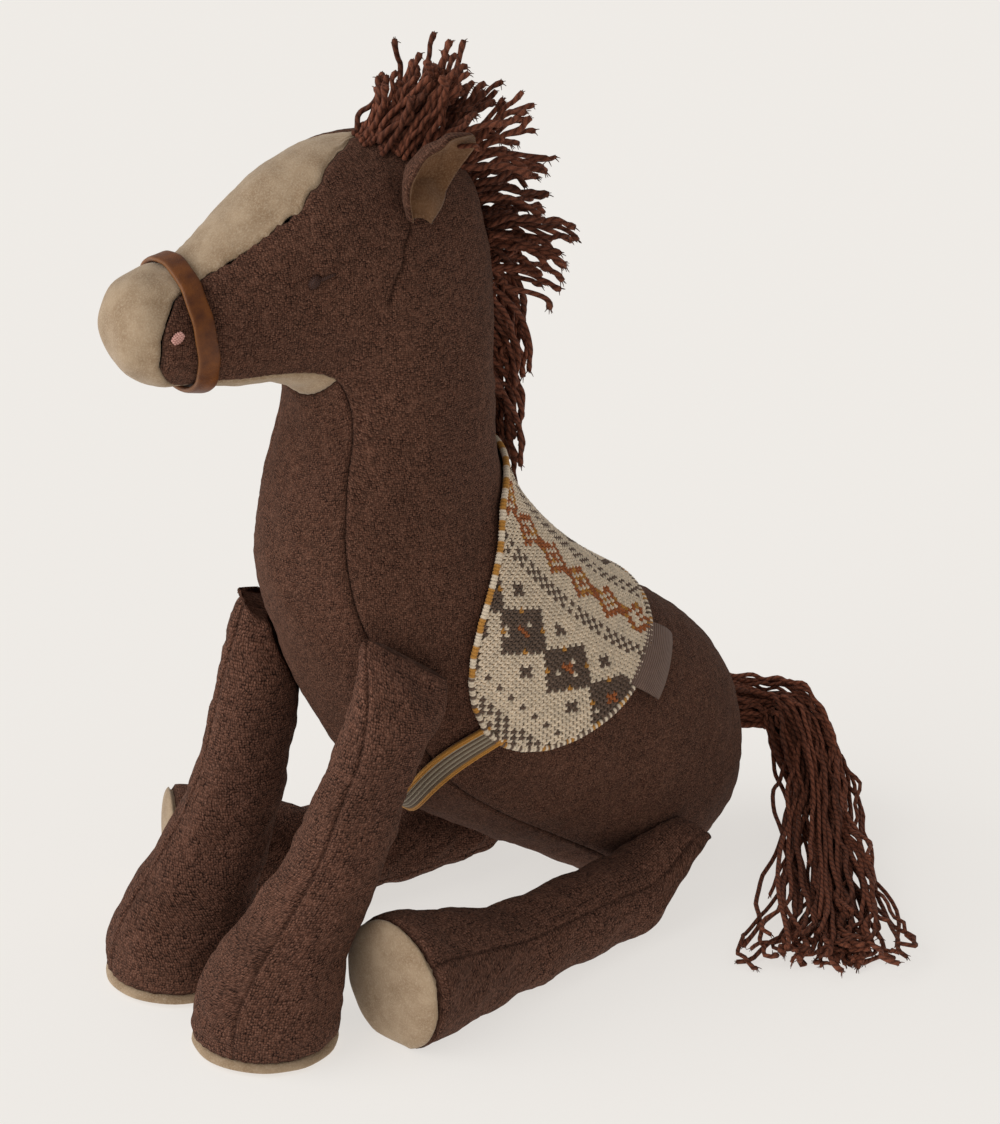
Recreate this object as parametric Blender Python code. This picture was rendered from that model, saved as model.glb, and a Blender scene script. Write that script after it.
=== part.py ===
"""A stuffed toy horse that sits on the floor, in metres, +Z up.

The horse looks along -Y and +X is its left side. The floor is Z = 0, and the origin is on the flat
of the seat, where the rump rests. The head is turned a little to the horse's right.

The skin of rump, trunk, neck and head is one surface. A station number runs along it from the muzzle
(0) to the end of the rump, and an angle runs round it from the back line (0) by the left side (90
degrees) to the belly line (180). Panels, straps, yarn and blanket are all laid on that surface.
"""

import math

import bpy
import numpy as np
from mathutils import Matrix, Vector
from mathutils.bvhtree import BVHTree

MM = 0.001

# Body
BODY_REACH = 163.5 * MM
BODY_HEIGHT = 241.0 * MM
TRUNK_WIDTH = 81.0 * MM
HEAD_WIDTH = 58.0 * MM
HEAD_YAW_DEG = 11.0

# Cloth, seams and the room between layers
CLOTH = 1.2 * MM
SEAM_GAP = 0.3 * MM
FILLING_GAP = 1.1 * MM
LEG_FILLING_GAP = 2.4 * MM
LAY_GAP = 0.9 * MM
PIECE_GAP = 0.3 * MM
PRESS_GAP = 0.7 * MM

# Noseband, embroidery and ears
NOSEBAND_WIDTH = 6.0 * MM
NOSEBAND_THICKNESS = 1.6 * MM
NOSEBAND_GAP = 0.5 * MM
NOSTRIL_LENGTH = 4.0 * MM
NOSTRIL_WIDTH = 2.6 * MM
EYE_LENGTH = 5.0 * MM
EYE_WIDTH = 3.4 * MM
STITCH_HEIGHT = 1.4 * MM
EAR_LENGTH = 27.0 * MM
EAR_WIDTH = 18.0 * MM
EAR_BOW = 3.5 * MM
EAR_LINING_GAP = 0.85 * MM
EAR_WIDTH_SHARES = (0.40, 0.68, 0.87, 0.97, 1.00, 0.97, 0.87, 0.68, 0.30)
EAR_FOLD_DEG = 78.0
EAR_LEAN = {"left": (0.35, 0.50, 0.80), "right": (0.05, 1.0, 0.30)}
EAR_FACING = (0.88, 0.36, 0.16)

# Yarn
FORELOCK_HEIGHT = 20.0 * MM
MANE_HEIGHT = 27.0 * MM
MANE_EDGE = 2.0 * MM
TAIL_REACH_OUT = 93.0 * MM
TAIL_REACH_BACK = 62.0 * MM
TAIL_END_AHEAD = 48.0 * MM
TAIL_WIDTH = 38.0 * MM
TAIL_THICKNESS = 12.0 * MM

# Saddle blanket, label tab and girth
BLANKET_THICKNESS = 2.0 * MM
BLANKET_REACH_DEG = 116.3
LABEL_WIDTH = 11.0 * MM
LABEL_THICKNESS = 0.8 * MM
GIRTH_WIDTH = 8.0 * MM
GIRTH_THICKNESS = 1.2 * MM

# Front legs: root is the middle of the sewn top edge, foot the middle of the sole
FRONT_ROOT_OUT = {"left": 33.0 * MM, "right": 27.0 * MM}
FRONT_ROOT_AHEAD = 106.0 * MM
FRONT_ROOT_HEIGHT = 106.0 * MM
FRONT_FOOT_AHEAD = {"left": 145.0 * MM, "right": 142.0 * MM}
FRONT_FOOT_OUT = {"left": 22.0 * MM, "right": 24.0 * MM}
FRONT_LEG_BOW = {"left": 1.0, "right": 1.45}
FRONT_LEG_RADIUS = 12.5 * MM
FRONT_FOOT_RADIUS = 20.6 * MM
FRONT_SOLE_THICKNESS = 3.2 * MM

# Hind legs: root at the hip, foot the middle of the sole, which faces forward
HIND_ROOT_OUT = 36.0 * MM
HIND_ROOT_AHEAD = 5.0 * MM
HIND_ROOT_HEIGHT = 26.0 * MM
HIND_FOOT_AHEAD = 118.0 * MM
HIND_FOOT_OUT = {"left": 45.0 * MM, "right": 58.0 * MM}
HIND_LEG_BOW = {"left": 0.0, "right": 14.0 * MM}
HIND_LEG_RADIUS = 12.5 * MM
HIND_FOOT_RADIUS = 19.3 * MM
HIND_SOLE_THICKNESS = 1.8 * MM
FLOOR_CUT = 1.6 * MM

# How far each leg swings about its sewn edge, in degrees: foot up and forward, foot back or down
FRONT_SWING_DEG = (-55.0, 0.0)
HIND_SWING_DEG = (0.0, 80.0)
# The turns of the tail about its root for which it is pressed clear of the rump
TAIL_PRESS_DEG = (60.0, 40.0, 20.0, 0.0)

# Side outline, one row for each station. The columns are the back line ahead of the seat and its
# height, then the belly line ahead and its height, as shares of BODY_REACH and BODY_HEIGHT, then
# the width, a share of HEAD_WIDTH on the head and of TRUNK_WIDTH from the neck on.
HEAD_OUTLINE_SHARES = [
    (1.000, 0.822, 1.000, 0.822, 0.00),
    (0.993, 0.848, 0.993, 0.797, 0.26),
    (0.969, 0.871, 0.972, 0.770, 0.45),
    (0.924, 0.881, 0.930, 0.754, 0.56),
    (0.868, 0.889, 0.881, 0.750, 0.59),
    (0.801, 0.923, 0.820, 0.742, 0.66),
    (0.722, 0.965, 0.758, 0.737, 0.79),
    (0.636, 0.992, 0.713, 0.732, 0.91),
    (0.544, 0.998, 0.685, 0.722, 0.98),
    (0.446, 0.988, 0.676, 0.707, 1.00),
]
NECK_AND_TRUNK_OUTLINE_SHARES = [
    (0.373, 0.946, 0.676, 0.689, 0.715),
    (0.339, 0.880, 0.682, 0.666, 0.715),
    (0.330, 0.797, 0.697, 0.635, 0.730),
    (0.330, 0.705, 0.716, 0.598, 0.755),
    (0.324, 0.627, 0.734, 0.548, 0.790),
    (0.294, 0.568, 0.737, 0.490, 0.840),
    (0.245, 0.521, 0.709, 0.423, 0.900),
    (0.177, 0.473, 0.648, 0.328, 0.950),
    (0.104, 0.432, 0.563, 0.232, 0.990),
    (0.031, 0.398, 0.440, 0.160, 1.000),
    (-0.047, 0.363, 0.306, 0.100, 1.000),
    (-0.122, 0.325, 0.190, 0.050, 0.970),
    (-0.191, 0.277, 0.090, 0.006, 0.890),
    (-0.239, 0.214, 0.000, -0.012, 0.735),
    (-0.251, 0.147, -0.088, -0.012, 0.535),
    (-0.243, 0.093, -0.150, -0.004, 0.330),
    (-0.223, 0.054, -0.184, 0.013, 0.160),
    (-0.205, 0.031, -0.205, 0.031, 0.00),
]

# Places along the skin, as station numbers
STATION_MUZZLE_SEAM = 2.6
STATION_CAP_END = 3.7
STATION_CAP_END_BELOW = 4.2
STATION_NOSEBAND = 3.66
NOSEBAND_LEAN_STATIONS = 0.6
STATION_NOSTRIL = 3.1
STATION_EYE = 6.43
STATION_THROAT = 8.5
STATION_POLL = 7.95
STATION_YAW_FULL = 8.0
STATION_YAW_NONE = 13.0
STATION_NECK_FILLING = 10.5
STATION_TRUNK_FILLING = 15.0
STATION_RUMP_END = 26.88
STATION_GUSSET_END = 26.0
STATION_MANE = (8.75, 13.8)
STATION_FORELOCK = (7.75, 8.7)
STATION_GIRTH = 17.62
# The girth lies further back under the belly, and more so on the right side.
GIRTH_SLIP_STATIONS = 1.0
GIRTH_SLIP_RIGHT_SHARE = 0.8

# The blanket's outline on the skin: its front and rear edge at shares of its reach from the spine
BLANKET_EDGE_SHARES = (0.0, 0.344, 0.499, 0.602, 0.705, 0.825, 0.903, 0.954, 0.985, 1.0)
BLANKET_FRONT_STATIONS = (14.10, 14.20, 14.53, 15.10, 15.57, 16.08, 16.46, 16.79, 17.12, 17.50)
BLANKET_REAR_STATIONS = (19.20, 19.16, 19.05, 18.97, 18.82, 18.55, 18.30, 18.04, 17.80, 17.52)
LABEL_DEG = (41.0, 70.0)

# Half angles of the velour above and below the side panels, and of the chest and belly gusset, in
# degrees at stations. In front of the noseband the velour is the muzzle cap.
BLAZE_HALF_DEG = (
    [2.6, 2.85, 3.22, 3.7, 4.2, 5.0, 5.6, 6.25, 6.66, 7.02, 7.64, 7.95],
    [86.0, 66.0, 47.0, 38.0, 36.5, 42.0, 43.5, 42.0, 33.0, 23.5, 6.0, 3.0],
)
CHIN_HALF_DEG = (
    [2.6, 2.85, 3.22, 3.7, 4.2, 4.6, 8.5],
    [62.0, 48.0, 32.0, 22.0, 21.0, 33.0, 40.0],
)
GUSSET_HALF_DEG = (
    [8.5, 10.9, 12.3, 13.3, 14.7, 16.0, 18.0, 21.0, 24.0, 25.4, 26.0],
    [40.0, 37.0, 34.5, 36.5, 40.0, 41.0, 39.0, 36.0, 30.0, 20.0, 12.0],
)
NOSTRIL_DEG = 83.5
EYE_DEG = 82.5

# Heights and half angles of the yarn's outer shapes, from front to back
YARN_LEAN_SHARE = 0.5
STATIONS_UNDER_LEAN = (8.7, 11.0)
FORELOCK_HEIGHT_SHARES = (0.20, 0.80, 1.00)
FORELOCK_HALF_DEG = (5.0, 12.0, 18.0)
MANE_HEIGHT_SHARES = (0.70, 0.74, 0.80, 0.84, 0.88, 0.90, 0.86, 0.74, 0.50)
MANE_HALF_DEG = (18.0, 22.0, 25.0, 26.0, 25.0, 22.0, 18.0, 14.0, 10.0)

# The sewn edge of a front leg lies along the body's side: turned outwards and lower at the back.
FRONT_TOP_TURN_DEG = 28.0
FRONT_TOP_SLOPE_SHARE = 0.66
FRONT_TOP_BACK = 2.4 * MM
FRONT_TOP_SHARE = 0.27

# Leg shapes. The front columns are the drop from root to floor, the way forward from root to foot,
# then half width and half depth as shares of the leg's radius (a foot's of the foot's radius).
FRONT_LEG_SHARES = [
    (0.000, 0.00, 0.18, 0.90),
    (0.040, 0.00, 0.48, 0.97),
    (0.085, 0.01, 0.72, 0.97),
    (0.140, 0.04, 0.86, 0.96),
    (0.210, 0.11, 0.95, 0.97),
    (0.330, 0.25, 0.96, 1.00),
    (0.500, 0.42, 1.02, 1.08),
]
FRONT_FOOT_SHARES = [
    (0.640, 0.62, 0.70, 0.75),
    (0.760, 0.82, 0.82, 0.86),
    (0.860, 0.94, 0.94, 0.95),
    (0.930, 0.98, 1.00, 0.97),
    (1.000, 1.00, 0.99, 0.94),
]
# The hind columns are the way from root to foot, then the half width and half height.
HIND_LEG_SHARES = [
    (0.000, 1.00, 0.20),
    (0.050, 1.02, 0.48),
    (0.110, 1.02, 0.76),
    (0.190, 0.98, 0.96),
    (0.350, 0.94, 1.02),
    (0.600, 0.98, 1.04),
]
HIND_FOOT_SHARES = [
    (0.760, 0.72, 0.80),
    (0.860, 0.82, 0.90),
    (0.930, 0.91, 0.98),
    (0.975, 0.95, 1.00),
    (1.000, 0.94, 0.99),
]
# The hind leg comes down from the hip to the floor over this share of its length.
HIND_DROP_SHARE = 0.22

# Tail: sideways share of the reach out, back share of the reach back and the way ahead, height as
# a share of the root's height, and the half width and half thickness.
TAIL_SHARES = [
    (0.00, 0.82, 0.00, 1.00, 0.28, 0.60),
    (0.03, 0.92, 0.00, 1.00, 0.34, 1.00),
    (0.11, 1.00, 0.00, 0.94, 0.46, 1.50),
    (0.22, 1.00, 0.03, 0.69, 0.56, 1.70),
    (0.36, 0.90, 0.06, 0.43, 0.64, 1.60),
    (0.54, 0.70, 0.18, 0.24, 0.72, 1.25),
    (0.80, 0.45, 0.42, 0.155, 0.90, 0.95),
    (0.95, 0.30, 0.60, 0.130, 1.00, 0.80),
    (1.00, 0.27, 0.68, 0.110, 0.90, 0.60),
]
TAIL_ROOT_HEIGHT_SHARE = 0.158

SIDES = {"left": 1.0, "right": -1.0}

BROWN_WOOL = (0.105, 0.060, 0.047, 1.0)
BROWN_TWEED = (0.120, 0.070, 0.055, 1.0)
BEIGE_VELOUR = (0.400, 0.315, 0.235, 1.0)
TAN_LEATHER = (0.155, 0.050, 0.018, 1.0)
EAR_LINING = (0.200, 0.130, 0.085, 1.0)
YARN = (0.085, 0.030, 0.022, 1.0)
KNIT = (0.560, 0.500, 0.400, 1.0)
ELASTIC = (0.420, 0.280, 0.120, 1.0)
WOVEN_TAB = (0.190, 0.120, 0.100, 1.0)
PINK_THREAD = (0.520, 0.230, 0.190, 1.0)
DARK_THREAD = (0.045, 0.022, 0.017, 1.0)
POLYESTER = (0.800, 0.790, 0.760, 1.0)


def clear_scene():
    for thing in list(bpy.data.objects):
        bpy.data.objects.remove(thing, do_unlink=True)


def material(name, colour, roughness):
    made = bpy.data.materials.get(name)
    if made:
        return made
    made = bpy.data.materials.new(name)
    made.use_nodes = True
    shader = made.node_tree.nodes["Principled BSDF"]
    shader.inputs["Base Color"].default_value = colour
    shader.inputs["Roughness"].default_value = roughness
    shader.inputs["Metallic"].default_value = 0.0
    made.diffuse_color = colour
    return made


def add_piece(name, points, faces, finish, origin=(0.0, 0.0, 0.0)):
    """Make one object of world points, with its own origin on its joint where it has one."""
    at = np.asarray(origin, float)
    mesh = bpy.data.meshes.new(name)
    mesh.from_pydata((np.asarray(points) - at).tolist(), [], faces)
    mesh.update()
    mesh.shade_smooth()
    mesh.set_sharp_from_angle(angle=math.radians(45.0))
    mesh.materials.append(finish)
    piece = bpy.data.objects.new(name, mesh)
    piece.location = Vector(at)
    bpy.context.scene.collection.objects.link(piece)
    return piece


def along_table(table, place):
    """Values of a table between its rows, on a smooth curve through them (Catmull-Rom)."""
    table = np.asarray(table, float)
    place = np.clip(np.asarray(place, float), 0.0, len(table) - 1.0)
    row = np.minimum(place.astype(int), len(table) - 2)
    part = (place - row)[..., None]
    before = table[np.maximum(row - 1, 0)]
    start = table[row]
    end = table[row + 1]
    after = table[np.minimum(row + 2, len(table) - 1)]
    bend = 2.0 * before - 5.0 * start + 4.0 * end - after
    twist = 3.0 * (start - end) + after - before
    return start + 0.5 * part * ((end - before) + part * (bend + part * twist))


def body_outline():
    """The side outline in metres: back line (Y, Z), belly line (Y, Z) and half width."""
    rows = []
    for shares, width in (
        (HEAD_OUTLINE_SHARES, HEAD_WIDTH),
        (NECK_AND_TRUNK_OUTLINE_SHARES, TRUNK_WIDTH),
    ):
        for back, back_up, belly, belly_up, wide in shares:
            rows.append(
                (
                    -back * BODY_REACH,
                    back_up * BODY_HEIGHT,
                    -belly * BODY_REACH,
                    belly_up * BODY_HEIGHT,
                    wide * width / 2,
                )
            )
    return np.array(rows)


OUTLINE = body_outline()
LAST_STATION = len(OUTLINE) - 1.0
STATION_STEP = 0.02
NECK_ROW = len(HEAD_OUTLINE_SHARES)


def section(station, angle):
    """A point of the skin: round an ellipse between the back line and the belly line."""
    row = along_table(OUTLINE, station)
    back = row[..., 0:2]
    belly = row[..., 2:4]
    middle = (back + belly) / 2
    upright = (back - belly) / 2 * np.cos(angle)[..., None]
    points = np.empty(np.shape(angle) + (3,))
    points[..., 0] = row[..., 4] * np.sin(angle)
    points[..., 1:] = middle + upright
    return turn_head(points, station)


def turn_head(points, station):
    """Turn the head's points about the upright line through the neck, easing out down the neck."""
    share = (STATION_YAW_NONE - station) / (STATION_YAW_NONE - STATION_YAW_FULL)
    share = np.clip(share, 0.0, 1.0)
    turn = -math.radians(HEAD_YAW_DEG) * share * share * (3.0 - 2.0 * share)
    neck = (OUTLINE[NECK_ROW, 0] + OUTLINE[NECK_ROW, 2]) / 2
    ahead = points[..., 1] - neck
    side = points[..., 0].copy()
    points[..., 0] = side * np.cos(turn) - ahead * np.sin(turn)
    points[..., 1] = neck + side * np.sin(turn) + ahead * np.cos(turn)
    return points


def skin(station, angle, out):
    """Points at a distance out from the skin, along its normal."""
    station, angle, out = np.broadcast_arrays(
        np.asarray(station, float), np.asarray(angle, float), np.asarray(out, float)
    )
    station = np.clip(station, 2 * STATION_STEP, LAST_STATION - 2 * STATION_STEP)
    here = section(station, angle)
    along = section(station + STATION_STEP, angle) - section(station - STATION_STEP, angle)
    step = math.radians(0.5)
    round_it = section(station, angle + step) - section(station, angle - step)
    normal = np.cross(round_it, along)
    normal /= np.linalg.norm(normal, axis=-1, keepdims=True)
    return here + normal * out[..., None]


def seam_allowance(station, angle):
    """The angle that half a seam's gap takes at a place on the skin."""
    step = math.radians(0.5)
    spread = section(station, angle + step) - section(station, angle - step)
    return SEAM_GAP / 2 * 2 * step / np.linalg.norm(spread, axis=-1)


def to_floor(points, above=0.0):
    """Flatten what would reach below the floor onto it, or onto a height above it."""
    points = np.array(points)
    points[..., 2] = np.maximum(points[..., 2], above)
    return points


def grid_faces(rows, columns, start=0, closed=False, flip=False):
    """Quads of a grid of points, row by row, closed round its columns if asked."""
    faces = []
    for row in range(rows - 1):
        for column in range(columns if closed else columns - 1):
            after = (column + 1) % columns
            quad = [
                start + row * columns + column,
                start + row * columns + after,
                start + (row + 1) * columns + after,
                start + (row + 1) * columns + column,
            ]
            faces.append(quad[::-1] if flip else quad)
    return faces


def sheet_solid(outer, inner):
    """Close two grids of points, an outer and an inner face, into one thin solid."""
    rows, columns = outer.shape[:2]
    count = rows * columns
    points = np.concatenate([outer.reshape(-1, 3), inner.reshape(-1, 3)])
    faces = grid_faces(rows, columns)
    faces += grid_faces(rows, columns, start=count, flip=True)
    top = [column for column in range(columns)]
    right = [row * columns + columns - 1 for row in range(rows)]
    bottom = [(rows - 1) * columns + column for column in range(columns)][::-1]
    left = [row * columns for row in range(rows)][::-1]
    loop = top + right[1:] + bottom[1:] + left[1:-1]
    for first, second in zip(loop, loop[1:] + loop[:1]):
        faces.append([second, first, first + count, second + count])
    return points, faces


def loft_solid(rings):
    """Close a row of rings of points into one solid, with a fan of faces at each end."""
    rows, columns = rings.shape[:2]
    ends = np.array([rings[0].mean(axis=0), rings[-1].mean(axis=0)])
    points = np.concatenate([rings.reshape(-1, 3), ends])
    faces = grid_faces(rows, columns, closed=True)
    first, last = rows * columns, rows * columns + 1
    for column in range(columns):
        after = (column + 1) % columns
        faces.append([after, column, first])
        base = (rows - 1) * columns
        faces.append([base + column, base + after, last])
    return points, faces


def cup_solid(outer, inner):
    """Close an outer and an inner row of rings into a cup: shut at the first rings, open at the last."""
    rows, columns = outer.shape[:2]
    count = rows * columns
    middles = np.array([outer[0].mean(axis=0), inner[0].mean(axis=0)])
    points = np.concatenate([outer.reshape(-1, 3), inner.reshape(-1, 3), middles])
    faces = grid_faces(rows, columns, closed=True)
    faces += grid_faces(rows, columns, start=count, closed=True, flip=True)
    rim = (rows - 1) * columns
    for column in range(columns):
        after = (column + 1) % columns
        faces.append([after, column, 2 * count])
        faces.append([count + column, count + after, 2 * count + 1])
        faces.append([rim + column, rim + after, count + rim + after, count + rim + column])
    return points, faces


def outward(points, faces):
    """Turn all faces round if the solid's volume comes out negative."""
    points = np.asarray(points)
    volume = 0.0
    for face in faces:
        for second, third in zip(face[1:-1], face[2:]):
            volume += np.dot(points[face[0]], np.cross(points[second], points[third]))
    if volume < 0.0:
        faces = [face[::-1] for face in faces]
    return points, faces


def laid_panel(stations, low, high, steps, inner, outer):
    """A thin solid laid on the skin between two angles that change along the stations."""
    share = np.linspace(0.0, 1.0, steps + 1)
    angles = low[:, None] + (high - low)[:, None] * share
    places = np.broadcast_to(stations[:, None], angles.shape)
    return outward(
        *sheet_solid(
            to_floor(skin(places, angles, outer), max(-outer, 0.0)),
            to_floor(skin(places, angles, inner), max(-inner, 0.0)),
        )
    )


def half_angle(table, stations):
    return np.radians(np.interp(stations, table[0], table[1]))


def side_seams(stations):
    """The angles of a side panel's upper and lower seams, on the left side."""
    upper = np.where(stations < STATION_POLL, half_angle(BLAZE_HALF_DEG, stations), 0.0)
    lower = np.where(
        stations < STATION_THROAT,
        half_angle(CHIN_HALF_DEG, stations),
        half_angle(GUSSET_HALF_DEG, stations),
    )
    lower = np.where(stations > STATION_GUSSET_END, 0.0, lower)
    return upper, math.pi - lower


SEAM_STEP = 0.04
NOSE_STATIONS = np.array([2.85, 3.22, STATION_CAP_END, STATION_CAP_END_BELOW])
BODY_STATIONS = np.concatenate(
    [
        NOSE_STATIONS,
        np.linspace(STATION_CAP_END_BELOW, STATION_POLL, 7)[1:-1],
        [STATION_POLL - 0.1, STATION_POLL + 0.1],
        [STATION_THROAT - SEAM_STEP, STATION_THROAT + SEAM_STEP],
        np.linspace(STATION_THROAT, 16.5, 17)[1:],
        np.linspace(16.5, 21.0, 7)[1:],
        np.linspace(21.0, STATION_RUMP_END, 12)[1:],
    ]
)


def make_side_panels(finish):
    """Left and right panels of head, neck and trunk, from the muzzle seam to the rump's end."""
    stations = np.concatenate([[STATION_MUZZLE_SEAM + SEAM_STEP], BODY_STATIONS])
    upper, lower = side_seams(stations)
    upper = upper + seam_allowance(stations, upper)
    lower = lower - seam_allowance(stations, lower)
    for side, sign in SIDES.items():
        points, faces = laid_panel(stations, upper, lower, 9, -CLOTH, 0.0)
        if sign < 0.0:
            points, faces = laid_panel(stations, -upper, -lower, 9, -CLOTH, 0.0)
        add_piece(f"side_panel_{side}", points, faces, finish)


def strip_between(stations, table, middle, steps):
    """A panel on both sides of the back line (middle 0) or of the belly line (middle pi)."""
    half = half_angle(table, stations)
    half = half - seam_allowance(stations, middle + half)
    return laid_panel(stations, middle - half, middle + half, steps, -CLOTH, 0.0)


def make_middle_panels(brown, velour):
    """The blaze down the face, the strip under the chin and the gusset of chest and belly."""
    ahead = (BODY_STATIONS > STATION_CAP_END) & (BODY_STATIONS < STATION_POLL)
    ahead = np.concatenate([[STATION_CAP_END + SEAM_STEP], BODY_STATIONS[ahead]])
    add_piece("blaze_panel", *strip_between(ahead, BLAZE_HALF_DEG, 0.0, 8), velour)
    under = (BODY_STATIONS > STATION_CAP_END_BELOW) & (BODY_STATIONS < STATION_THROAT)
    under = np.concatenate([[STATION_CAP_END_BELOW + SEAM_STEP], BODY_STATIONS[under]])
    add_piece("chin_strip", *strip_between(under, CHIN_HALF_DEG, math.pi, 4), velour)
    behind = (BODY_STATIONS > STATION_THROAT) & (BODY_STATIONS < STATION_GUSSET_END)
    gusset = strip_between(BODY_STATIONS[behind], GUSSET_HALF_DEG, math.pi, 5)
    add_piece("chest_and_belly_gusset", *gusset, brown)


def full_rings(stations, sides, out):
    turn = (np.arange(sides) + 0.5) * 2 * math.pi / sides
    places = np.asarray(stations, float)[:, None] + np.zeros(sides)
    return to_floor(skin(places, np.broadcast_to(turn, places.shape), out), max(-out, 0.0))


def muzzle_cap_rim():
    """Angles all round the nose and the station where the cap ends at each.

    Above and below, the cap runs back under the noseband. Between, its edge follows the round
    front ends of the side panels.
    """
    front = STATION_MUZZLE_SEAM + SEAM_STEP
    stations = np.concatenate([[front], NOSE_STATIONS])
    upper, lower = side_seams(stations)
    upper = upper - seam_allowance(stations, upper)
    lower = lower + seam_allowance(stations, lower)
    ends = stations - SEAM_STEP
    ends[0] = front - 2 * SEAM_STEP
    top = STATION_CAP_END - SEAM_STEP
    angles = [0.0, upper[3] / 2, *upper[3::-1], (upper[0] + lower[0]) / 2, *lower, math.pi]
    places = [top, top, *ends[3::-1], ends[0], *ends, ends[-1]]
    angles = np.array(angles + [-angle for angle in angles[-2:0:-1]])
    return angles, np.array(places + places[-2:0:-1])


def make_muzzle_cap(velour):
    """The velour cap over the nose end."""
    angles, ends = muzzle_cap_rim()
    tip = 0.3
    shares = np.array([0.0, 0.2, 0.42, 0.68, 1.0])[:, None]
    places = tip + (ends - tip) * shares
    angles = np.broadcast_to(angles, places.shape)
    outer, inner = skin(places, angles, 0.0), skin(places, angles, -CLOTH)
    add_piece("muzzle_cap", *outward(*cup_solid(outer, inner)), velour)


def make_body_fillings(finish):
    """Stuffing of head, neck and trunk, which meet at flat faces."""
    depth = -(CLOTH + FILLING_GAP)
    spans = {
        "head_filling": (0.9, STATION_NECK_FILLING - 0.05, 15),
        "neck_filling": (STATION_NECK_FILLING + 0.05, STATION_TRUNK_FILLING - 0.05, 6),
        "trunk_filling": (STATION_TRUNK_FILLING + 0.05, 26.2, 13),
    }
    for name, (start, end, count) in spans.items():
        rings = full_rings(np.linspace(start, end, count), 16, depth)
        add_piece(name, *outward(*loft_solid(rings)), finish)


def make_noseband(leather):
    """A leather band round the muzzle, with slightly rounded edges."""
    per_station = np.linalg.norm(
        section(np.array(STATION_NOSEBAND + 0.5), np.array(0.0))
        - section(np.array(STATION_NOSEBAND - 0.5), np.array(0.0))
    )
    half = NOSEBAND_WIDTH / 2 / per_station
    edge = half * 0.75
    sides = 28
    turn = (np.arange(sides) + 0.5) * 2 * math.pi / sides
    lean = NOSEBAND_LEAN_STATIONS * (1.0 - np.cos(turn)) / 2
    loops = []
    for place, height in (
        (-half, 0.3),
        (-edge, 1.0),
        (edge, 1.0),
        (half, 0.3),
        (half, 0.0),
        (-half, 0.0),
    ):
        out = NOSEBAND_GAP + height * NOSEBAND_THICKNESS
        loops.append(skin(STATION_NOSEBAND + lean + place, turn, out))
    loops.append(loops[0])
    rings = np.array(loops[:-1])
    faces = grid_faces(len(rings), sides, closed=True)
    last = (len(rings) - 1) * sides
    for column in range(sides):
        after = (column + 1) % sides
        faces.append([last + column, last + after, after, column])
    add_piece("noseband", *outward(rings.reshape(-1, 3), faces), leather)


def add_stitched_dot(name, station, angle, length, width, thread):
    """A low embroidered dot that lies on the skin: half a turn of rings over its outline."""
    here = skin(station, angle, PIECE_GAP)
    above = skin(station, angle, PIECE_GAP + STITCH_HEIGHT)
    up = (above - here) / STITCH_HEIGHT
    along = skin(station + STATION_STEP, angle, 0.0) - skin(station - STATION_STEP, angle, 0.0)
    along /= np.linalg.norm(along)
    across = np.cross(up, along)
    turn = np.arange(10) * 2 * math.pi / 10
    rings = []
    for tilt in np.radians([-65.0, -20.0, 20.0, 65.0]):
        flat = (
            along * np.cos(turn)[:, None] * length / 2 + across * np.sin(turn)[:, None] * width / 2
        )
        height = (1.0 + math.sin(tilt)) / 2 * STITCH_HEIGHT
        rings.append(here + flat * math.cos(tilt) + up * height)
    add_piece(name, *outward(*loft_solid(np.array(rings))), thread)


def make_face_stitches(pink, dark):
    """Nostrils in front of the noseband and small sleeping eyes on the cheeks."""
    for side, sign in SIDES.items():
        angle = sign * math.radians(NOSTRIL_DEG)
        size = (NOSTRIL_LENGTH, NOSTRIL_WIDTH)
        add_stitched_dot(f"nostril_{side}", STATION_NOSTRIL, angle, *size, pink)
        angle = sign * math.radians(EYE_DEG)
        add_stitched_dot(f"eye_{side}", STATION_EYE, angle, EYE_LENGTH, EYE_WIDTH, dark)


def body_tree():
    """The whole skin as one closed surface, for pressing the neighbours against it."""
    stations = np.linspace(0.3, STATION_RUMP_END, 70)
    points, faces = outward(*loft_solid(full_rings(stations, 48, 0.0)))
    return BVHTree.FromPolygons([Vector(point) for point in points], faces)


def pressed(points, tree, gap, hinge=None, swings=(0.0,), axis="X"):
    """Move points that come nearer to the body than the gap out to it, at each swing of a piece.

    The swing turns a point about the axis through the hinge, in degrees.
    """
    shape = points.shape
    moved = points.reshape(-1, 3).copy()
    pivot = np.zeros(3) if hinge is None else np.asarray(hinge)
    for swing in swings:
        turn = np.array(Matrix.Rotation(math.radians(swing), 3, axis))
        turned = (moved - pivot) @ turn.T + pivot
        for index, point in enumerate(turned):
            nearest, normal, _, _ = tree.find_nearest(Vector(point))
            clear = (Vector(point) - nearest).dot(normal)
            if clear < gap:
                turned[index] = nearest + normal * gap
        moved = (turned - pivot) @ turn + pivot
    return moved.reshape(shape)


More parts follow.
